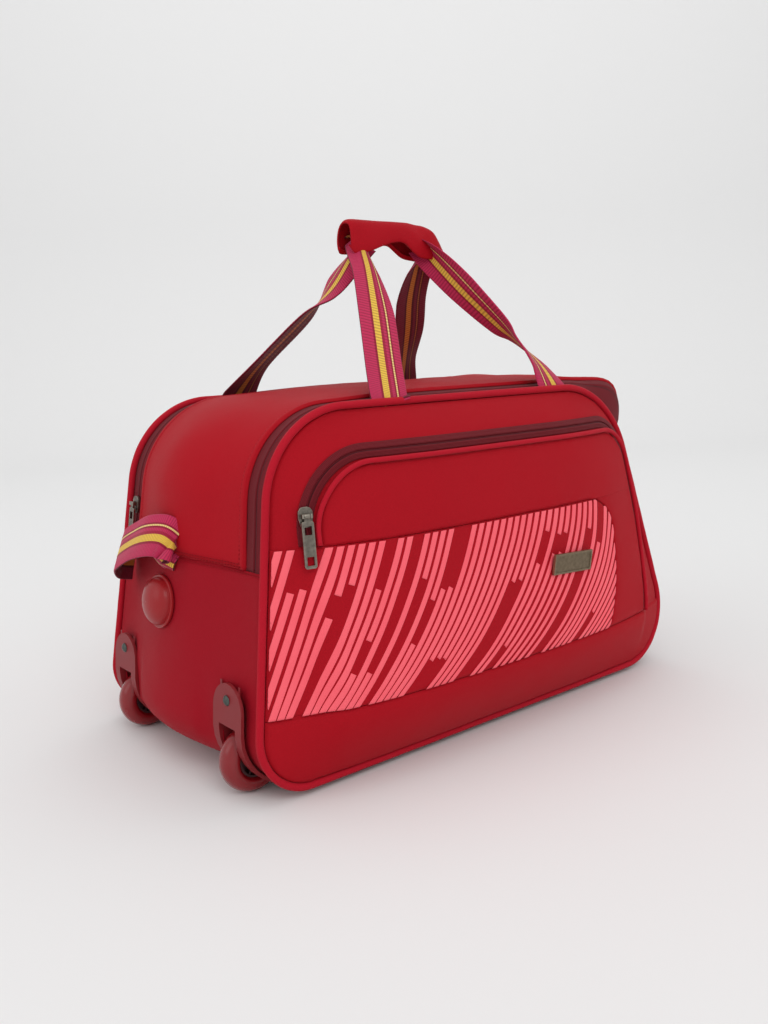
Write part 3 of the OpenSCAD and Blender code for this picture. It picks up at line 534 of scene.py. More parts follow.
steel = metal("turned_steel", rgb(150, 152, 156), rgb(210, 212, 214), 0.28)


def dress(piece, *materials):
    piece.data.materials.clear()
    for m in materials:
        piece.data.materials.append(m)
    return piece


def add_to(piece, body, slot, *nodes):
    """Rides a piece on its body and hides the CAD nodes that it stands for. slot is not used."""
    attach(piece, body)
    if nodes:
        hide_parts(*nodes)
    return piece


# ------------ front face

POCKET_LEFT, POCKET_RIGHT, POCKET_TOP = -206.0, 216.0, 273.5
POCKET_CORNER_L, POCKET_CORNER_R = 55.0, 46.0
BAND_SEAM, PRINT_SEAM = 73.0, 209.0
PRINT_RIGHT, PRINT_CORNER = 151.0, 40.0
LAYER, POCKET_SWELL = 2.2, 4.4
SEAM = 0.25
EDGE = [0, 0.45, 1.0, 1.7, 2.6, 3.8, 5.6, 8.5]


def drawn_in(z, top, r, inset):
    """How far a side is drawn in at height z, with a rounded corner of radius r below top."""
    centre = top - r
    reach = np.sqrt(np.maximum(0, (r - inset) ** 2 - (z - centre) ** 2))
    return np.where(z < centre, inset, r - reach)


def pocket_left_x(z, inset=0.0):
    return POCKET_LEFT + drawn_in(z, POCKET_TOP, POCKET_CORNER_L, inset)


def pocket_side_line(z):
    return POCKET_RIGHT - 0.0011 * (z - 125) ** 2


def pocket_right_x(z, inset=0.0):
    line = pocket_side_line(np.minimum(z, POCKET_TOP - POCKET_CORNER_R))
    return line - drawn_in(z, POCKET_TOP, POCKET_CORNER_R, inset)


def print_right_x(z):
    """Far end of the printed panel at height z."""
    below = np.maximum(0, PRINT_SEAM - PRINT_CORNER - z)
    return PRINT_RIGHT - 0.0018 * below ** 2 - drawn_in(z, PRINT_SEAM, PRINT_CORNER, 0)


def layer_lift(x, z):
    """Height of the sewn-on layers above the front panel, which the pocket lifts."""
    across = smooth((x - POCKET_LEFT + 12) / 24) * smooth((POCKET_RIGHT + 9 - x) / 15)
    return LAYER + POCKET_SWELL * across * smooth((z - 20) / 45) * smooth((POCKET_TOP + 10 - z) / 8)


def dents(x, z):
    """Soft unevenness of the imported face, gone at its seam."""
    inside = np.minimum(smooth((x - left_x(z)) / 60), smooth((right_x(z) - x) / 60))
    inside = inside * smooth((z - FLOOR) / 50) * smooth((TOP - z) / 50)
    return inside * (1.1 * noise(x, z, 95, 1) + 0.45 * noise(x, z, 34, 2))


def on_shell(x, z, lift=0.0):
    """Points on the front panel itself."""
    y = -(depth_at(z) + crown_at(x, z, FRONT_CROWN) + dents(x, z) + lift)
    return np.stack(np.broadcast_arrays(x, y, z), -1)


def on_front(x, z, lift=0.0):
    """Points on the front's outer layers."""
    return on_shell(x, z, layer_lift(x, z) + lift)


def from_border(x, z, joined):
    """Distance of each point of a grid from its border, less the stretch that is joined on."""
    p = np.stack([x, z], -1)
    border = np.concatenate([p[0], p[-1], p[:, 0], p[:, -1]])
    if joined is not None:
        border = border[~joined(border[:, 0], border[:, 1])]
    flat = p.reshape(-1, 2)
    near = np.full(len(flat), 1e9)
    for part in np.array_split(border, 24):
        gap = np.linalg.norm(flat[:, None] - part[None], axis=2)
        near = np.minimum(near, gap.min(1))
    return near.reshape(x.shape)


def seam_dip(d, x, z):
    """How far cloth sinks where it is d from a seam, with small puckers along it."""
    pucker = 0.35 * noise(x + z, x - z, 7, 3) * np.exp(-(d / 6) ** 2)
    return 1.7 * np.exp(-(d / 1.5) ** 2) + 0.6 * np.exp(-(d / 6) ** 2) + pucker


def front_patch(name, low, high, left, right, surface, rows, cols, flip=True, joined=None):
    """Cloth between two heights and two side lines, sunk along its seams."""
    z = low + edge_steps(high - low, rows, EDGE)
    grid_x, grid_z = [], []
    for level in z:
        a, b = float(left(level)), float(right(level))
        grid_x.append(a + edge_steps(b - a, cols, EDGE))
        grid_z.append(np.full(len(grid_x[-1]), level))
    x, z = np.array(grid_x), np.array(grid_z)
    grid = surface(x, z, -seam_dip(from_border(x, z, joined), x, z))
    return cloth_grid(name, grid, flip=flip)


def panel_left(z):
    return left_x(z, GUSSET_START)


def panel_right(z):
    return right_x(z, GUSSET_START)


def make_front():
    inset = 2.6

    def joined(x, z):
        """Where the upper and the side of the pocket are one piece of cloth."""
        return (abs(z - PRINT_SEAM) < 0.01) & (x > PRINT_RIGHT - PRINT_CORNER + 2)

    def upper_left(z):
        return pocket_left_x(z, inset)

    def upper_right(z):
        return pocket_right_x(z, inset)

    def side_left(z):
        return print_right_x(z) + 2 * SEAM

    low, high = FLOOR + GUSSET_START, TOP - GUSSET_START
    patches = [
        ("front_panel_cloth", "front_panel", low, high, panel_left, panel_right, on_shell, 90, 140,
         None),
        ("pocket_upper_cloth", "pocket_upper_panel", PRINT_SEAM, POCKET_TOP - inset, upper_left,
         upper_right, on_front, 40, 120, joined),
        ("pocket_side_cloth", "pocket_side_panel", BAND_SEAM + SEAM, PRINT_SEAM, side_left,
         upper_right, on_front, 50, 24, joined),
        ("stripe_panel_cloth", "stripe_panel", BAND_SEAM + SEAM, PRINT_SEAM - SEAM, panel_left,
         print_right_x, on_front, 50, 130, None),
        ("bottom_band_cloth", "bottom_band", low, BAND_SEAM - SEAM, panel_left, panel_right, on_front,
         30, 140, None)]
    for name, node, bottom, top, left, right, surface, rows, cols, join in patches:
        piece = front_patch(name, bottom, top, left, right, surface, rows, cols, joined=join)
        add_to(dress(piece, bag_red), "bag", "bag_fabric", node)


# Gives the back dents of its own
BACK_SHIFT = 500.0


def make_back():
    """Plain padded back, with one seam across it at the height of the band."""

    def on_back(x, z, lift=0.0):
        y = depth_at(z) + crown_at(x, z, BACK_CROWN) + dents(x, z + BACK_SHIFT)
        return np.stack(np.broadcast_arrays(x, y + lift, z), -1)

    def back_side(name, low, high, rows):
        piece = front_patch(name, low, high, panel_left, panel_right, on_back, rows, 120, False)
        return add_to(dress(piece, bag_red), "bag", "bag_fabric")

    upper = back_side("back_upper_cloth", BAND_SEAM + SEAM, TOP - GUSSET_START, 80)
    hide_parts("back_panel")
    back_side("back_band_cloth", FLOOR + GUSSET_START, BAND_SEAM - SEAM, 30)


def stripe_lean(x_top, drop):
    """How far a printed stripe has moved towards the wheel end, drop below the seam."""
    t = np.clip((x_top + 200) / 325, 0, 1)
    return 0.38 * (1 - t ** 4) * drop + (0.0003 + 0.0047 * t) * drop ** 2


PRINT_HEIGHT, PRINT_SHARE, PRINT_PITCH = 0.45, 0.64, 9.1
PRINT_RING = [(-1, -0.3), (-1, 0.7), (-0.86, 1), (0, 1), (0.86, 1), (1, 0.7), (1, -0.3)]


def print_ribbon(x, z, half, low, high):
    """Rings of one printed stripe. Its ends are square, and level where a seam cuts it."""
    slope = np.gradient(x, z)
    bend = 1 + slope ** 2
    square = smooth((z - low) / 9) * smooth((high - z) / 9)
    rings = []
    for a, lift in PRINT_RING:
        out = x + a * half * (square / bend + 1 - square)
        up = z - a * half * slope * square / bend
        out = np.clip(out, panel_left(up) + 0.4, print_right_x(up) - 0.4)
        rings.append(on_front(out, up, PRINT_HEIGHT * lift))
    return np.stack(rings, 1)


def stripe_gap(draw, low, high):
    """Lowest and highest level of the missing part of a stripe."""
    cut = low + (high - low) * (0.12 + 0.76 * draw.random())
    half = 6 + 14 * draw.random()
    return [(low, low), (cut, high + 1), (low - 1, cut), (cut - half, cut + half)][
        int(draw.choice(4, p=[0.58, 0.15, 0.12, 0.15]))]


def make_print():
    """Raised printed stripes, many of them broken off part way, some with a neighbour."""
    draw = np.random.default_rng(23)
    points, faces = [], []
    low, high = BAND_SEAM + 1, PRINT_SEAM - 1
    cols = len(PRINT_RING)
    half = PRINT_SHARE * PRINT_PITCH / 2
    missing = (low, low)
    for x_top in np.arange(-290.0, 262.0, PRINT_PITCH):
        if missing == (low, low) or draw.random() > 0.2:
            missing = stripe_gap(draw, low, high)
        z = np.linspace(low, high, 76)
        x = x_top - stripe_lean(x_top, PRINT_SEAM - z)
        shown = (z < missing[0]) | (z > missing[1]) | (missing == (low, low))
        shown &= (x + half > panel_left(z) + 1.2) & (x - half < print_right_x(z) - 1.2)
        runs = np.flatnonzero(np.diff(np.concatenate([[0], shown.astype(int), [0]])))
        for start, end in zip(runs[::2], runs[1::2]):
            if end - start < 5:  # too short to print
                continue
            base = len(points)
            points.extend(print_ribbon(x[start:end], z[start:end], half, low, high).reshape(-1, 3))
            skin = grid_faces(end - start, cols, loop_cols=True)
            faces += [[base + k for k in f][::-1] for f in skin]
            last = base + (end - start - 1) * cols
            faces += [[base + k for k in range(cols)][::-1], [last + k for k in range(cols)]]
    piece = to_mesh("print_stripes", points, faces)
    add_to(dress(piece, print_coral), "bag", "printed_fabric")


# ------------ piping and zips

def pocket_path():
    """Inverted U of the pocket: up the wheel side, over the top and down the far side."""
    right = float(pocket_right_x(POCKET_TOP))
    left = (POCKET_LEFT + POCKET_CORNER_L, POCKET_TOP - POCKET_CORNER_L)
    centre_z = POCKET_TOP - POCKET_CORNER_R
    z = np.linspace(centre_z - 3, BAND_SEAM + 1, 30)
    side = np.stack([pocket_side_line(z), z, np.zeros(len(z))], 1)
    path = np.concatenate([
        [[POCKET_LEFT, PRINT_SEAM + 1, 180]],
        arc(left, POCKET_CORNER_L, 180, 90), arc((right, centre_z), POCKET_CORNER_R, 90, 4), side])
    return resample(path, 3.0)


def outward(angle):
    return np.stack([cosd(angle), np.zeros(len(angle)), sind(angle)], 1)


def make_piping():
    loop = resample(np.concatenate([LOOP, LOOP[:1] + [[0, 0, 360]]]), 4.0)[:-1]
    for side, body_node in ((-1, "front_piping"), (1, "back_piping")):
        centre = np.stack([loop[:, 0], side * depth_at(loop[:, 1]), loop[:, 1]], 1)
        radius = PIPING_R * (1 + 0.04 * noise(np.arange(len(loop)) * 4.0, 0, 12, 5))
        cord = tube(body_node + "_cloth", centre, outward(loop[:, 2]), radius, 16, closed=True)
        add_to(dress(cord, piping_red), "bag", "bag_fabric", body_node)
    path = pocket_path()
    centre = on_front(path[:, 0], path[:, 1], 1.2)
    cord = tube("pocket_piping_cloth", centre, outward(path[:, 2]), 2.2, 14)
    add_to(dress(cord, piping_red), "bag", "bag_fabric", "pocket_piping")


def zip_profile(across, width):
    """Height of a closed zip over its tape: two soft lips that meet in a slit."""
    off = abs(across - width / 2)
    return 0.55 * np.exp(-((off - 1.9) / 1.3) ** 2) - 1.5 * np.exp(-(off / 0.5) ** 2)


def tape_steps(width):
    middle = width / 2
    fine = np.array([0, 0.3, 0.6, 1.0, 1.5, 2.1, 2.9, 4.0])
    half = np.concatenate([-fine[:0:-1], fine])
    return np.concatenate([[0, 1], half + middle, [width - 1, width]])


def make_zips():
    path = pocket_path()
    o = tape_steps(POCKET_TAPE_W)
    start = 2.0
    x = path[:, :1] + cosd(path[:, 2:]) * (start + o)
    z = path[:, 1:2] + sind(path[:, 2:]) * (start + o)
    grid = on_shell(x, z, 1.4 + zip_profile(o, POCKET_TAPE_W))
    tape = cloth_grid("pocket_zip_cloth", grid, thickness=0.8)
    add_to(dress(tape, zip_narrow), "bag", "zip_tape", "pocket_zip_tape")
    over = resample(OVER, 4.0)
    for side, node in ((-1, "front_zip_tape"), (1, "back_zip_tape")):
        o = tape_steps(TAPE_W)
        y = side * (depth_at(over[:, 1:2]) - GUSSET_START - o)
        grid = gusset_grid(over, y, -1.9 + zip_profile(o, TAPE_W))
        tape = cloth_grid(node + "_cloth", grid, flip=side < 0, thickness=0.8)
        add_to(dress(tape, zip_wide), "bag", "zip_tape", node)


# ------------ gusset

def corner_at(x, z, angle):
    """How strongly a path point belongs to the pushed-out corner above the pull handle."""
    reach = np.where(z > CORNER_Z, 22, 29)
    near = smooth((z - CORNER_Z + 40) / 25) * np.exp(-((z - CORNER_Z) / reach) ** 2)
    return np.where((x > 0) & (sind(angle) > 0), near * smooth(cosd(angle) / 0.35), 0)


def gusset_grid(path, y, lift):
    """Points of the gusset for every path point and every depth y, raised by lift."""
    x, z, angle = path[:, 0:1], path[:, 1:2], path[:, 2:3]
    q, inside = y / depth_at(z), np.maximum(0, depth_at(z) - GUSSET_START - abs(y))
    end = END_BULGE * np.where(sind(angle) < 0, cosd(angle) ** 4, cosd(angle) ** 2)
    level = 0.3 + 0.7 * smooth((x + 190) / 150)
    top = TOP_BULGE * level * np.maximum(0, sind(angle)) ** 4 * (1 - q ** 4)
    swell = end * (1 - q * q) ** 3 + top + lift
    corner = corner_at(x, z, angle)
    swell = swell + CORNER_SWELL * corner * (1 - np.exp(-inside / 12)) \
        * (0.55 + 0.45 * np.exp(-(inside / 60) ** 2))
    draw = CORNER_DRAW * corner * (1 - np.exp(-inside / 25)) * smooth(abs(y) / 60)
    return np.stack(np.broadcast_arrays(x + cosd(angle) * swell, y + np.sign(y) * draw,
                                        z + sind(angle) * swell), -1)


def end_seam(s, y, shift):
    """How far a gusset sinks beside the seams at its ends, with puckers along them."""
    ends = np.minimum(s, s[-1] - s)
    pucker = 0.4 + noise(y, s, 16, shift)
    return 1.2 * np.exp(-(ends / 2.5) ** 2) + 0.9 * np.exp(-(ends / 14) ** 2) * pucker


# Distance of the hem's stitching from the edge over the zip
HEM = 6.5


def make_top_gusset():
    path = resample(OVER, 5.0)
    s = arc_length(path[:, :2])[:, None]
    edge = GUSSET_START + TAPE_W - 1.5
    half = depth_at(path[:, 1:2]) - edge
    steps = np.array([0, 0.5, 1.2, 2.2, 4.0, 5.6, HEM - 0.5, HEM, HEM + 0.5, HEM + 1.6, HEM + 5])
    across = edge_steps(1.0, 26, steps / 150)
    y = half * (2 * across - 1)
    d = half - abs(y)
    hem = 2.6 * smooth(d / 1.8) - 1.5 - 0.7 * smooth((d - HEM + 0.2) / 1.2) \
        - 0.45 * np.exp(-((d - HEM) / 0.5) ** 2)
    soft = 1.7 * noise(s, y, 85, 7) + 0.8 * noise(s, y, 36, 8)
    grid = gusset_grid(path, y, 0.3 + hem - end_seam(s, y, 6) + soft * smooth((d - 4) / 40))
    piece = cloth_grid("top_gusset_cloth", grid, flip=True, thickness=1.2)
    add_to(dress(piece, bag_red), "bag", "bag_fabric", "top_gusset")
    for side, label in ((-1, "front"), (1, "back")):
        line = gusset_grid(path, side * (half - HEM), 0.55)[:, 0]
        row = stitches("top_gusset_topstitch_" + label, line, outward(path[:, 2]))
        add_to(dress(row, thread_red), "bag", "bag_fabric")


HOUSING_TOP, HOUSING_END, HOUSING_W, WHEEL_Y = 98.0, -205.0, 45.0, 98.0
# The gusset stays inside this plane beside the wheel housings
HOUSING_FACE = -270.0


def in_housing(grid, margin):
    """True where the gusset's points lie inside a wheel housing's outline, drawn in by margin."""
    x, y, z = grid[..., 0], abs(grid[..., 1]) - WHEEL_Y, grid[..., 2]
    half = HOUSING_W / 2 - margin
    round_top = y ** 2 + (z - HOUSING_TOP + HOUSING_W / 2) ** 2 < half ** 2
    straight = (abs(y) < half) & (z < HOUSING_TOP - HOUSING_W / 2)
    return (round_top | straight) & (x < HOUSING_END - margin)


def make_lower_gusset():
    path = resample(UNDER, 5.0)
    s = arc_length(path[:, :2])[:, None]
    half = depth_at(path[:, 1:2]) - GUSSET_START
    across = edge_steps(1.0, 54, np.array([0, 0.5, 1.2, 2.4, 4.5]) / 270)
    y = half * (2 * across - 1)
    d = half - abs(y)
    soft = 1.4 * noise(s, y, 85, 10) + 0.6 * noise(s, y, 33, 11)
    soft = soft * smooth((path[:, 1:2] - FLOOR - 1) / 30) * smooth(d / 40)
    grid = gusset_grid(path, y, soft - end_seam(s, y, 9) - 1.2 * np.exp(-(d / 1.5) ** 2))
    near = smooth((30 - np.hypot(np.maximum(0, abs(abs(y) - WHEEL_Y) - HOUSING_W / 2 + 2),
                                 np.maximum(0, grid[..., 2] - HOUSING_TOP + 6))) / 30)
    near = near * (grid[..., 0] < HOUSING_END + 15)
    grid[..., 0] += near * np.maximum(0, HOUSING_FACE - grid[..., 0])
    centre = (grid[1:, 1:] + grid[:-1, :-1]) / 2
    bezel_low, bezel_high = cad_box("pull_bezel")
    tray = (abs(centre[..., 1]) < bezel_high[1] - 3) & (centre[..., 0] > bezel_low[0] - 20)
    tray &= (centre[..., 2] > bezel_low[2] + 1.5) & (centre[..., 2] < bezel_high[2] - 1.5)
    keep = ~in_housing(centre, 9.0) & ~tray
    piece = cloth_grid("lower_gusset_cloth", grid, flip=True, thickness=1.2, keep=keep)
    add_to(dress(piece, base_red), "bag", "base_fabric", "lower_gusset")
    for index, end, slope in ((0, "wheel_end", 0.142), (-1, "pull_end", -0.294)):
        for offset in (-1.8, 1.8, 4.2):
            f = path[[index] * 120]
            f[:, 1] += offset
            f[:, 0] += offset * slope
            reach = half[index, 0] - (2 if offset < 0 else TAPE_W + 3)
            run = np.linspace(-reach, reach, 120)[:, None]
            line = gusset_grid(f, run, 0.2)[:, 0]
            name = f"end_seam_stitch_{end}_{int(offset * 10 + 30)}"
            add_to(dress(stitches(name, line, outward(f[:, 2])), thread_red), "bag", "base_fabric")


# ------------ webbing and handles

WEBBING_T, RIB_HEIGHT, FOLD = 1.8, 0.28, 30.0


def webbing(name, stations, width=WEBBING_W, swap=False, under=None):
    """Webbing through stations, each its middle (x, y, z) and the direction across it.

    The right side faces along cross(along, across). A seventh value gathers the width: its edges
    fold towards the reverse. swap mirrors the bands, and under is the material of the reverse."""
    stations = np.array([tuple(s) + (1.0,) * (7 - len(s)) for s in stations], float)
    total = arc_length(spline(stations[:, :3], 400))[-1]
    rows = int(total / (RIB_PITCH / 4))
    middle = spline(stations[:, :3], rows)
    across = unit(spline(stations[:, 3:6], rows))
    gather = np.minimum(1, spline(stations[:, 6:], rows))
    along = unit(np.gradient(middle, axis=0))
    across = unit(across - along * (across * along).sum(1, keepdims=True))
    normal = np.cross(along, across)
    s = np.linspace(0, total, rows)
    ends = [0, 0.8, 2.0] + [b[0] for b in WEBBING_BANDS[:-1]] + [width - 2.0, width - 0.8, width]
    v = np.array(sorted(set(ends + [6.5, 9.0, 17.0, 24.7, 34.0])))
    ribbed = (v < 11.5) | (v > 31.0) | ((v > 23.2) & (v < 26.2))
    edge = np.minimum(v, width - v)
    thick = WEBBING_T / 2 * np.sqrt(np.clip(edge / 0.8, 0.15, 1))
    cup = (0.7 + FOLD * (1 - gather)) * ((2 * v / width - 1) ** 2)[None]
    wave = RIB_HEIGHT * np.abs(np.sin(np.pi * s / RIB_PITCH))[:, None] * ribbed[None]

    def side(sign):
        lift = sign * (thick[None] + wave * 0.8) - cup
        return middle[:, None] + across[:, None] * (gather * (v - width / 2))[..., None] \
            + normal[:, None] * lift[..., None]

    top, low = side(1), side(-1)
    cols, count = len(v), rows * len(v)
    band = width - v if swap else v
    uv = np.stack(np.broadcast_arrays(band[None], s[:, None]), -1).reshape(-1, 2)
    quads = grid_faces(rows, cols)
    faces = quads + [[k + count for k in f][::-1] for f in quads]
    border = [*range(cols), *range(2 * cols - 1, count, cols),
              *range(count - 2, count - cols - 1, -1), *range(count - 2 * cols, 0, -cols)]
    faces += [[a, b, b + count, a + count] for a, b in zip(border, border[1:] + border[:1])]
    piece = to_mesh(name, np.concatenate([top.reshape(-1, 3), low.reshape(-1, 3)]), faces,
                    np.concatenate([uv, uv]))
    dress(piece, webbing_right, under or webbing_reverse)
    slots = [0] * len(quads) + [1] * (len(faces) - len(quads))
    piece.data.polygons.foreach_set("material_index", slots)
    piece.data.update()
    return piece


# Each carry strap from its seam to the handle: middle, direction across, share of its width
STRAPS = {
    "front_left_strap": [
        (-101, -113, 315, 1, 0, 0), (-101, -113, 321, 1, 0, 0), (-87, -90, 352, 1, 0, 0.03),
        (-68, -59, 398, 1, 0, 0.05), (-53, -32, 436, 1, 0.1, 0, 0.85),
        (-44, -13, 458, 1, 0.1, 0, 0.65), (-39, -2, 472, 1, 0, 0, 0.5)],
    "front_right_strap": [
        (114, -113, 315, 1, 0, 0), (114, -113, 321, 1, 0, 0), (113, -100, 339, 0.93, 0.37, 0),
        (105, -87, 357, 0.74, 0.67, 0), (97, -77, 370, 0.55, 0.84, 0), (86, -67, 384, 0.32, 0.9, -0.29),
        (60, -44, 419, 0.1, 0.88, -0.45), (46, -20, 449, 0, 0.85, -0.52, 0.85),
        (42, -3, 467, -0.1, 0.8, -0.55, 0.5)],
    "back_left_strap": [
        (-118, 113, 315, 1, 0, 0), (-118, 112, 321, 1, 0, 0), (-104, 91, 351, 0.85, 0.5, 0),
        (-66, 59, 398, 0.8, 0.6, 0), (-47, 38, 426, 0.3, 0.85, 0.35), (-40, 14, 455, 0.2, 0.85, 0.45, 0.7),
        (-37, 2, 469, 0.2, 0.9, 0.2, 0.5)],
    "back_right_strap": [
        (107, 113, 315, 1, 0, 0), (107, 112, 321, 1, 0, 0), (98, 97, 346, 0.95, 0.3, 0),
        (81, 68, 383, 1, 0, 0), (66, 46, 415, 1, 0, 0), (57, 26, 443, 1, 0, 0, 0.85),
        (50, 8, 462, 1, 0, 0, 0.6), (46, 2, 472, 1, 0, 0, 0.5)]}


def make_straps():
    for node, stations in STRAPS.items():
        front = node.startswith("front")
        if front:
            stations = [(x, y, z, -a, -b, -c, *k) for x, y, z, a, b, c, *k in stations]
        under = webbing_right if node == "front_right_strap" else None
        piece = webbing(node + "_webbing", stations, swap=node == "front_left_strap", under=under)
        add_to(piece, "bag", "webbing", node)
        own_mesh(piece)


# The wrap along the handle: x, top, lower edge in front, lower edge behind, half width
WRAP = [
    (-58, 485, 461, 459, 11), (-53, 488, 455, 456, 14), (-38, 488, 457, 457, 15.5),
    (-20, 488, 463, 463, 16), (-4, 488, 467, 466, 16), (8, 488, 466, 466, 16), (18, 488, 458, 460, 16),
    (28, 487, 453, 455, 16), (40, 486, 452, 453, 16), (50, 482, 452, 452, 15), (58, 474, 451, 451, 13),
    (64, 466, 453, 453, 10)]
# Its section from the front edge over the ridge to the back edge: share of the half width and
# of the height
WRAP_SECTION = [
    (-0.62, 0.1), (-0.9, 0.0), (-1, 0.14), (-0.98, 0.4), (-0.86, 0.7), (-0.62, 0.92), (-0.2, 1.0),
    (0.35, 0.97), (0.8, 0.74), (1, 0.4), (1, 0.12), (0.9, 0.0), (0.62, 0.1)]


def make_wrap():
    """Folded fabric over the carry webbing: a saddle with a ridge and turned-in edges."""
    x, top, front, back, half = spline(WRAP, 120).T
    rings = []
    for share, height in spline(WRAP_SECTION, 72):
        t = (share + 1) / 2
        edge = front * (1 - t) + back * t
        rings.append(np.stack([x, share * half, edge + (top - edge) * height], -1))
    grid = np.stack(rings, 1)
    fold = noise(grid[..., 0], grid[..., 1] * 0.6 + grid[..., 2], 15, 12)
    grid[..., 1] += 0.8 * fold * np.sign(grid[..., 1])
    grid[..., 2] += 0.35 * noise(grid[..., 0], grid[..., 1], 19, 13)
    piece = cloth_grid("handle_wrap_cloth", grid, thickness=1.6)
    add_to(dress(piece, bag_red), "carry_handle", "bag_fabric", "handle_wrap")


def make_core():
    """Webbing that runs on inside the wrap, laid over itself."""
    stations = [(x, 0, 476 - 0.0012 * x * x, 0, 1, 0) for x in (-48, -25, 0, 25, 48)]
    piece = webbing("handle_core_webbing", stations, width=20.0)
    add_to(piece, "carry_handle", "webbing", "handle_core")


def make_grab_strap():
    """End grab strap: crumpled webbing between two anchors, one twisted, with a folded tail."""

    def station(y, z, out, across_y, across_z, across_out, share=1.0):
        f = np.array([[float(left_x(z)), z, 180 - LEFT_ANGLE]])
        p = gusset_grid(f, np.array([[float(y)]]), out)[0, 0]
        normal = np.array([-cosd(LEFT_ANGLE), 0, sind(LEFT_ANGLE)])
        rise = np.array([sind(LEFT_ANGLE), 0, cosd(LEFT_ANGLE)])
        across = np.array([0, across_y, 0]) + across_z * rise + across_out * normal
        return np.concatenate([p, across, [share]])

    body = [station(-15, 196, 1.6, 0, -1, 0), station(-16, 201, 6, -0.3, -1, -0.2),
            station(-8, 206, 12, -0.45, -0.9, 0.2), station(14, 203, 17, -0.4, -0.9, 0.3),
            station(44, 194, 21, -0.1, -1, 0.35), station(74, 182, 25, 0.1, -1, 0.2),
            station(94, 171, 17, 0.1, -1, 0), station(102, 168, 1.8, 0, -1, 0)]
    piece = webbing("grab_strap_webbing", body, swap=True)
    add_to(piece, "bag", "webbing", "grab_strap")
    tail = [station(-14, 179, 1.5, 0.7, -0.7, 0, 0.6), station(-2, 184, 7, 0.7, -0.7, 0.1, 0.6),
            station(12, 190, 8, 0.7, -0.7, 0.2, 0.6)]
    add_to(webbing("grab_strap_tail", tail), "bag", "webbing")


# ------------ pull handle

def rounded_ring(x, y, z, w, h, r, steps=6):
    """Rounded rectangle of the size w by h around (y, z), in the plane at x."""
    points = []
    for k, (a, b) in enumerate(((1, 1), (-1, 1), (-1, -1), (1, -1))):
        turn = 90 * k + np.linspace(0, 90, steps)
        points.append(np.stack([np.full(steps, float(x)), y + a * (w / 2 - r) + r * cosd(turn),
                                z + b * (h / 2 - r) + r * sind(turn)], 1))
    return np.concatenate(points)


def loft(name, rings, closed=True):
    """Skin through rings along +X. Closed lofts join their last ring to the first."""
    rings = np.array(rings)
    rows, cols = rings.shape[:2]
    faces = [f[::-1] for f in grid_faces(rows, cols, loop_rows=closed, loop_cols=True)]
    if not closed:
        last = (rows - 1) * cols
        faces += [list(range(cols))[::-1], [last + k for k in range(cols)]]
    piece = to_mesh(name, rings.reshape(-1, 3), faces)
    piece.data.polygons.foreach_set("use_smooth", [False] * len(piece.data.polygons))
    return piece


def make_tubes():
    """Extruded box tubes with rounded corners, in place of their flat CAD walls."""
    wall = 1.2
    for node, body in (("middle_tubes", "middle_stage"), ("inner_tubes", "grip_stage")):
        low, high = cad_box(node)
        z, h = (low[2] + high[2]) / 2, high[2] - low[2]
        w = {"middle_tubes": 21.2, "inner_tubes": 18.4}[node]
        for side, label in ((-1, "front"), (1, "back")):
            y = side * (high[1] - w / 2)
            rings = [rounded_ring(x, y, z, w - 2 * d, h - 2 * d, r) for x, d, r in (
                (low[0], 0.3, 1.7), (low[0] + 0.3, 0, 2), (high[0] - 0.3, 0, 2), (high[0], 0.3, 1.7),
                (high[0], wall, 0.8), (low[0], wall, 0.8))]
            piece = loft(f"{node}_{label}", rings)
            add_to(dress(piece, aluminium), body, "tube_aluminium", node)


def make_bezel():
    """Moulded tray around the mouths of the tubes."""
    low, high = cad_box("pull_bezel")
    z, h, w = (low[2] + high[2]) / 2, high[2] - low[2], high[1] - low[1]
    tray = high[0] - 14
    rings = [rounded_ring(x, 0, z, w - 2 * a, h - 2 * b, r) for x, a, b, r in (
        (low[0], 0, 0, 7), (high[0] - 1.2, 0, 0, 7), (high[0] - 0.4, 0.4, 0.4, 6.6),
        (high[0], 1.2, 1.2, 6), (high[0], 3.8, 2.2, 5), (high[0] - 0.6, 4.6, 2.8, 4.6),
        (tray + 1, 5, 3, 4), (tray, 6, 4, 3))]
    piece = loft("pull_bezel_moulding", rings, closed=False)
    add_to(dress(piece, handle_plastic), "bag", "handle_plastic", "pull_bezel")


# ------------ CAD nodes that stay

# Material, width of the rounded edges and the CAD nodes that have them
LOOKS = [
    (bronze, 0.25, "badge"),
    (black_plastic, 0.6, "base_board"),
    (black_plastic, 0.5, "base_feet", "middle_collars"),
    (black_plastic, 1.0, "tube_end_blocks"),
    (foot_plastic, 0.4, "end_foot"),
    (housing_plastic, 0.9, "front_wheel_housing", "back_wheel_housing"),
    (rivet_metal, 0.2, "housing_rivets"),
    (steel, 0.2, "front_axle", "back_axle"),
    (steel, 0.15, "front_bushes", "back_bushes"),
    (steel, 0.0, "release_spring"),
    (wheel_plastic, 0.3, "front_tyre", "back_tyre"),
    (hub_plastic, 0.3, "front_hub", "back_hub"),
    (gunmetal, 0.35, "pocket_slider", "pocket_pull_tab", "back_slider", "back_pull_tab",
     "front_slider", "front_pull_tab"),
    (gunmetal, 0.6, "release_button"),
    (aluminium, 0.0, "outer_tubes"),
    (handle_plastic, 0.8, "pull_grip")]


def bevel(piece, width):
    """Joins the corners of a CAD mesh and rounds its edges."""
    piece.modifiers.new("joined_corners", "WELD").merge_threshold = 0.00001
    edge = piece.modifiers.new("rounded_edges", "BEVEL")
    edge.width = width / 1000
    edge.segments = 3
    edge.limit_method = "ANGLE"
    edge.angle_limit = math.radians(35)
    edge.harden_normals = True


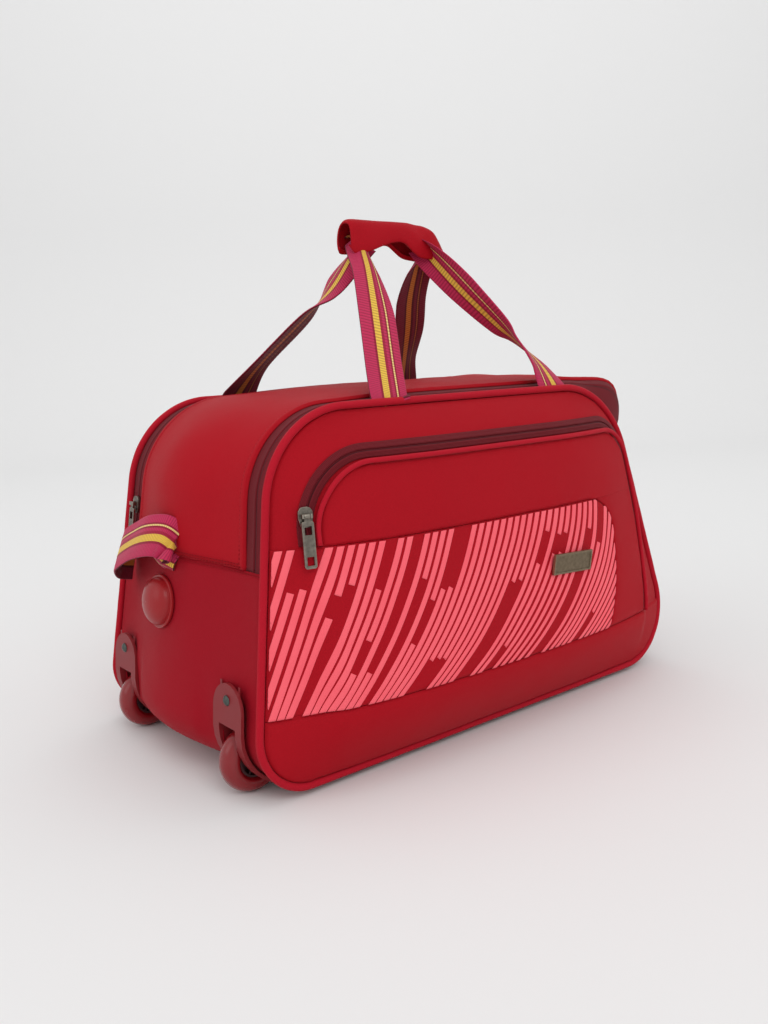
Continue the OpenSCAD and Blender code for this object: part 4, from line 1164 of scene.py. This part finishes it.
def finish_cad_nodes():
    for material, width, *nodes in LOOKS:
        for node in nodes:
            dress(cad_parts[node], material)
            if width:
                bevel(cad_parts[node], width)


# ------------ studio and camera

def make_studio():
    """White paper that sweeps up behind the bag, square to the camera."""
    floor = bpy.data.meshes.new("studio_floor")
    sweep = [(-4.0, 0.0), (2.2, 0.0)]
    turn = np.radians(np.arange(6, 91, 6))
    sweep += [(2.2 + 0.9 * math.sin(a), 0.9 - 0.9 * math.cos(a)) for a in turn]
    sweep.append((3.1, 5.0))
    heading = math.radians(39.1)
    forward = Vector((math.sin(heading), math.cos(heading), 0))
    side = Vector((forward.y, -forward.x, 0))
    points = [tuple(forward * a + side * b + Vector((0, 0, c))) for a, c in sweep for b in (-6, 6)]
    floor.from_pydata(points, [], grid_faces(len(sweep), 2))
    floor.polygons.foreach_set("use_smooth", [True] * len(floor.polygons))
    stage = bpy.data.objects.new("studio_floor", floor)
    bpy.context.scene.collection.objects.link(stage)
    n = Nodes("studio_paper")
    n.finish(Base_Color=(0.82, 0.82, 0.82, 1), Roughness=0.9, Specular_IOR_Level=0.05)
    dress(stage, n.material)


def light(name, place, target, size, power):
    lamp = bpy.data.lights.new(name, "AREA")
    lamp.shape = "RECTANGLE"
    lamp.size, lamp.size_y = size
    lamp.energy = power
    piece = bpy.data.objects.new(name, lamp)
    piece.location = place
    aim = Vector(target) - Vector(place)
    piece.rotation_euler = aim.to_track_quat("-Z", "Y").to_euler()
    bpy.context.scene.collection.objects.link(piece)


def make_lights():
    world = bpy.data.worlds.new("studio")
    bpy.context.scene.world = world
    world.use_nodes = True
    world.node_tree.nodes["Background"].inputs[0].default_value = (1, 1, 1, 1)
    world.node_tree.nodes["Background"].inputs[1].default_value = 0.8
    light("key", (-0.9, -2.0, 2.1), (0, 0, 0.2), (1.6, 1.2), 15)
    light("fill", (-2.4, 0.6, 1.3), (-0.1, 0, 0.2), (1.4, 1.4), 5)
    light("top", (0.3, 0.4, 2.6), (0, 0, 0.2), (1.8, 1.8), 7)
    light("backdrop", (0.9, 1.1, 2.6), (2.2, 2.7, 1.0), (4.0, 1.0), 11)


def make_camera():
    """Camera at the place, the angles and the focal length of the photograph."""
    yaw, pitch, roll = (math.radians(a) for a in (39.09, 9.86, -1.91))
    aim = Vector((math.sin(yaw) * math.cos(pitch), math.cos(yaw) * math.cos(pitch), -math.sin(pitch)))
    right = Vector((math.cos(yaw), -math.sin(yaw), 0))
    up = right.cross(aim)
    x = right * math.cos(roll) + up * math.sin(roll)
    y = up * math.cos(roll) - right * math.sin(roll)
    camera = bpy.data.cameras.new("camera")
    camera.lens, camera.sensor_width = 33.27, 36
    camera.clip_start, camera.clip_end = 0.01, 30
    piece = bpy.data.objects.new("camera", camera)
    piece.matrix_world = Matrix((x, y, -aim)).transposed().to_4x4()
    piece.matrix_world.translation = Vector((-0.633, -0.7552, 0.3646))
    bpy.context.scene.collection.objects.link(piece)
    bpy.context.scene.camera = piece
    bpy.context.scene.view_settings.view_transform = "Standard"


make_camera()
make_front()
make_print()
make_back()
make_piping()
make_zips()
make_top_gusset()
make_lower_gusset()
make_straps()
make_wrap()
make_core()
make_grab_strap()
make_tubes()
make_bezel()
finish_cad_nodes()
make_studio()
make_lights()
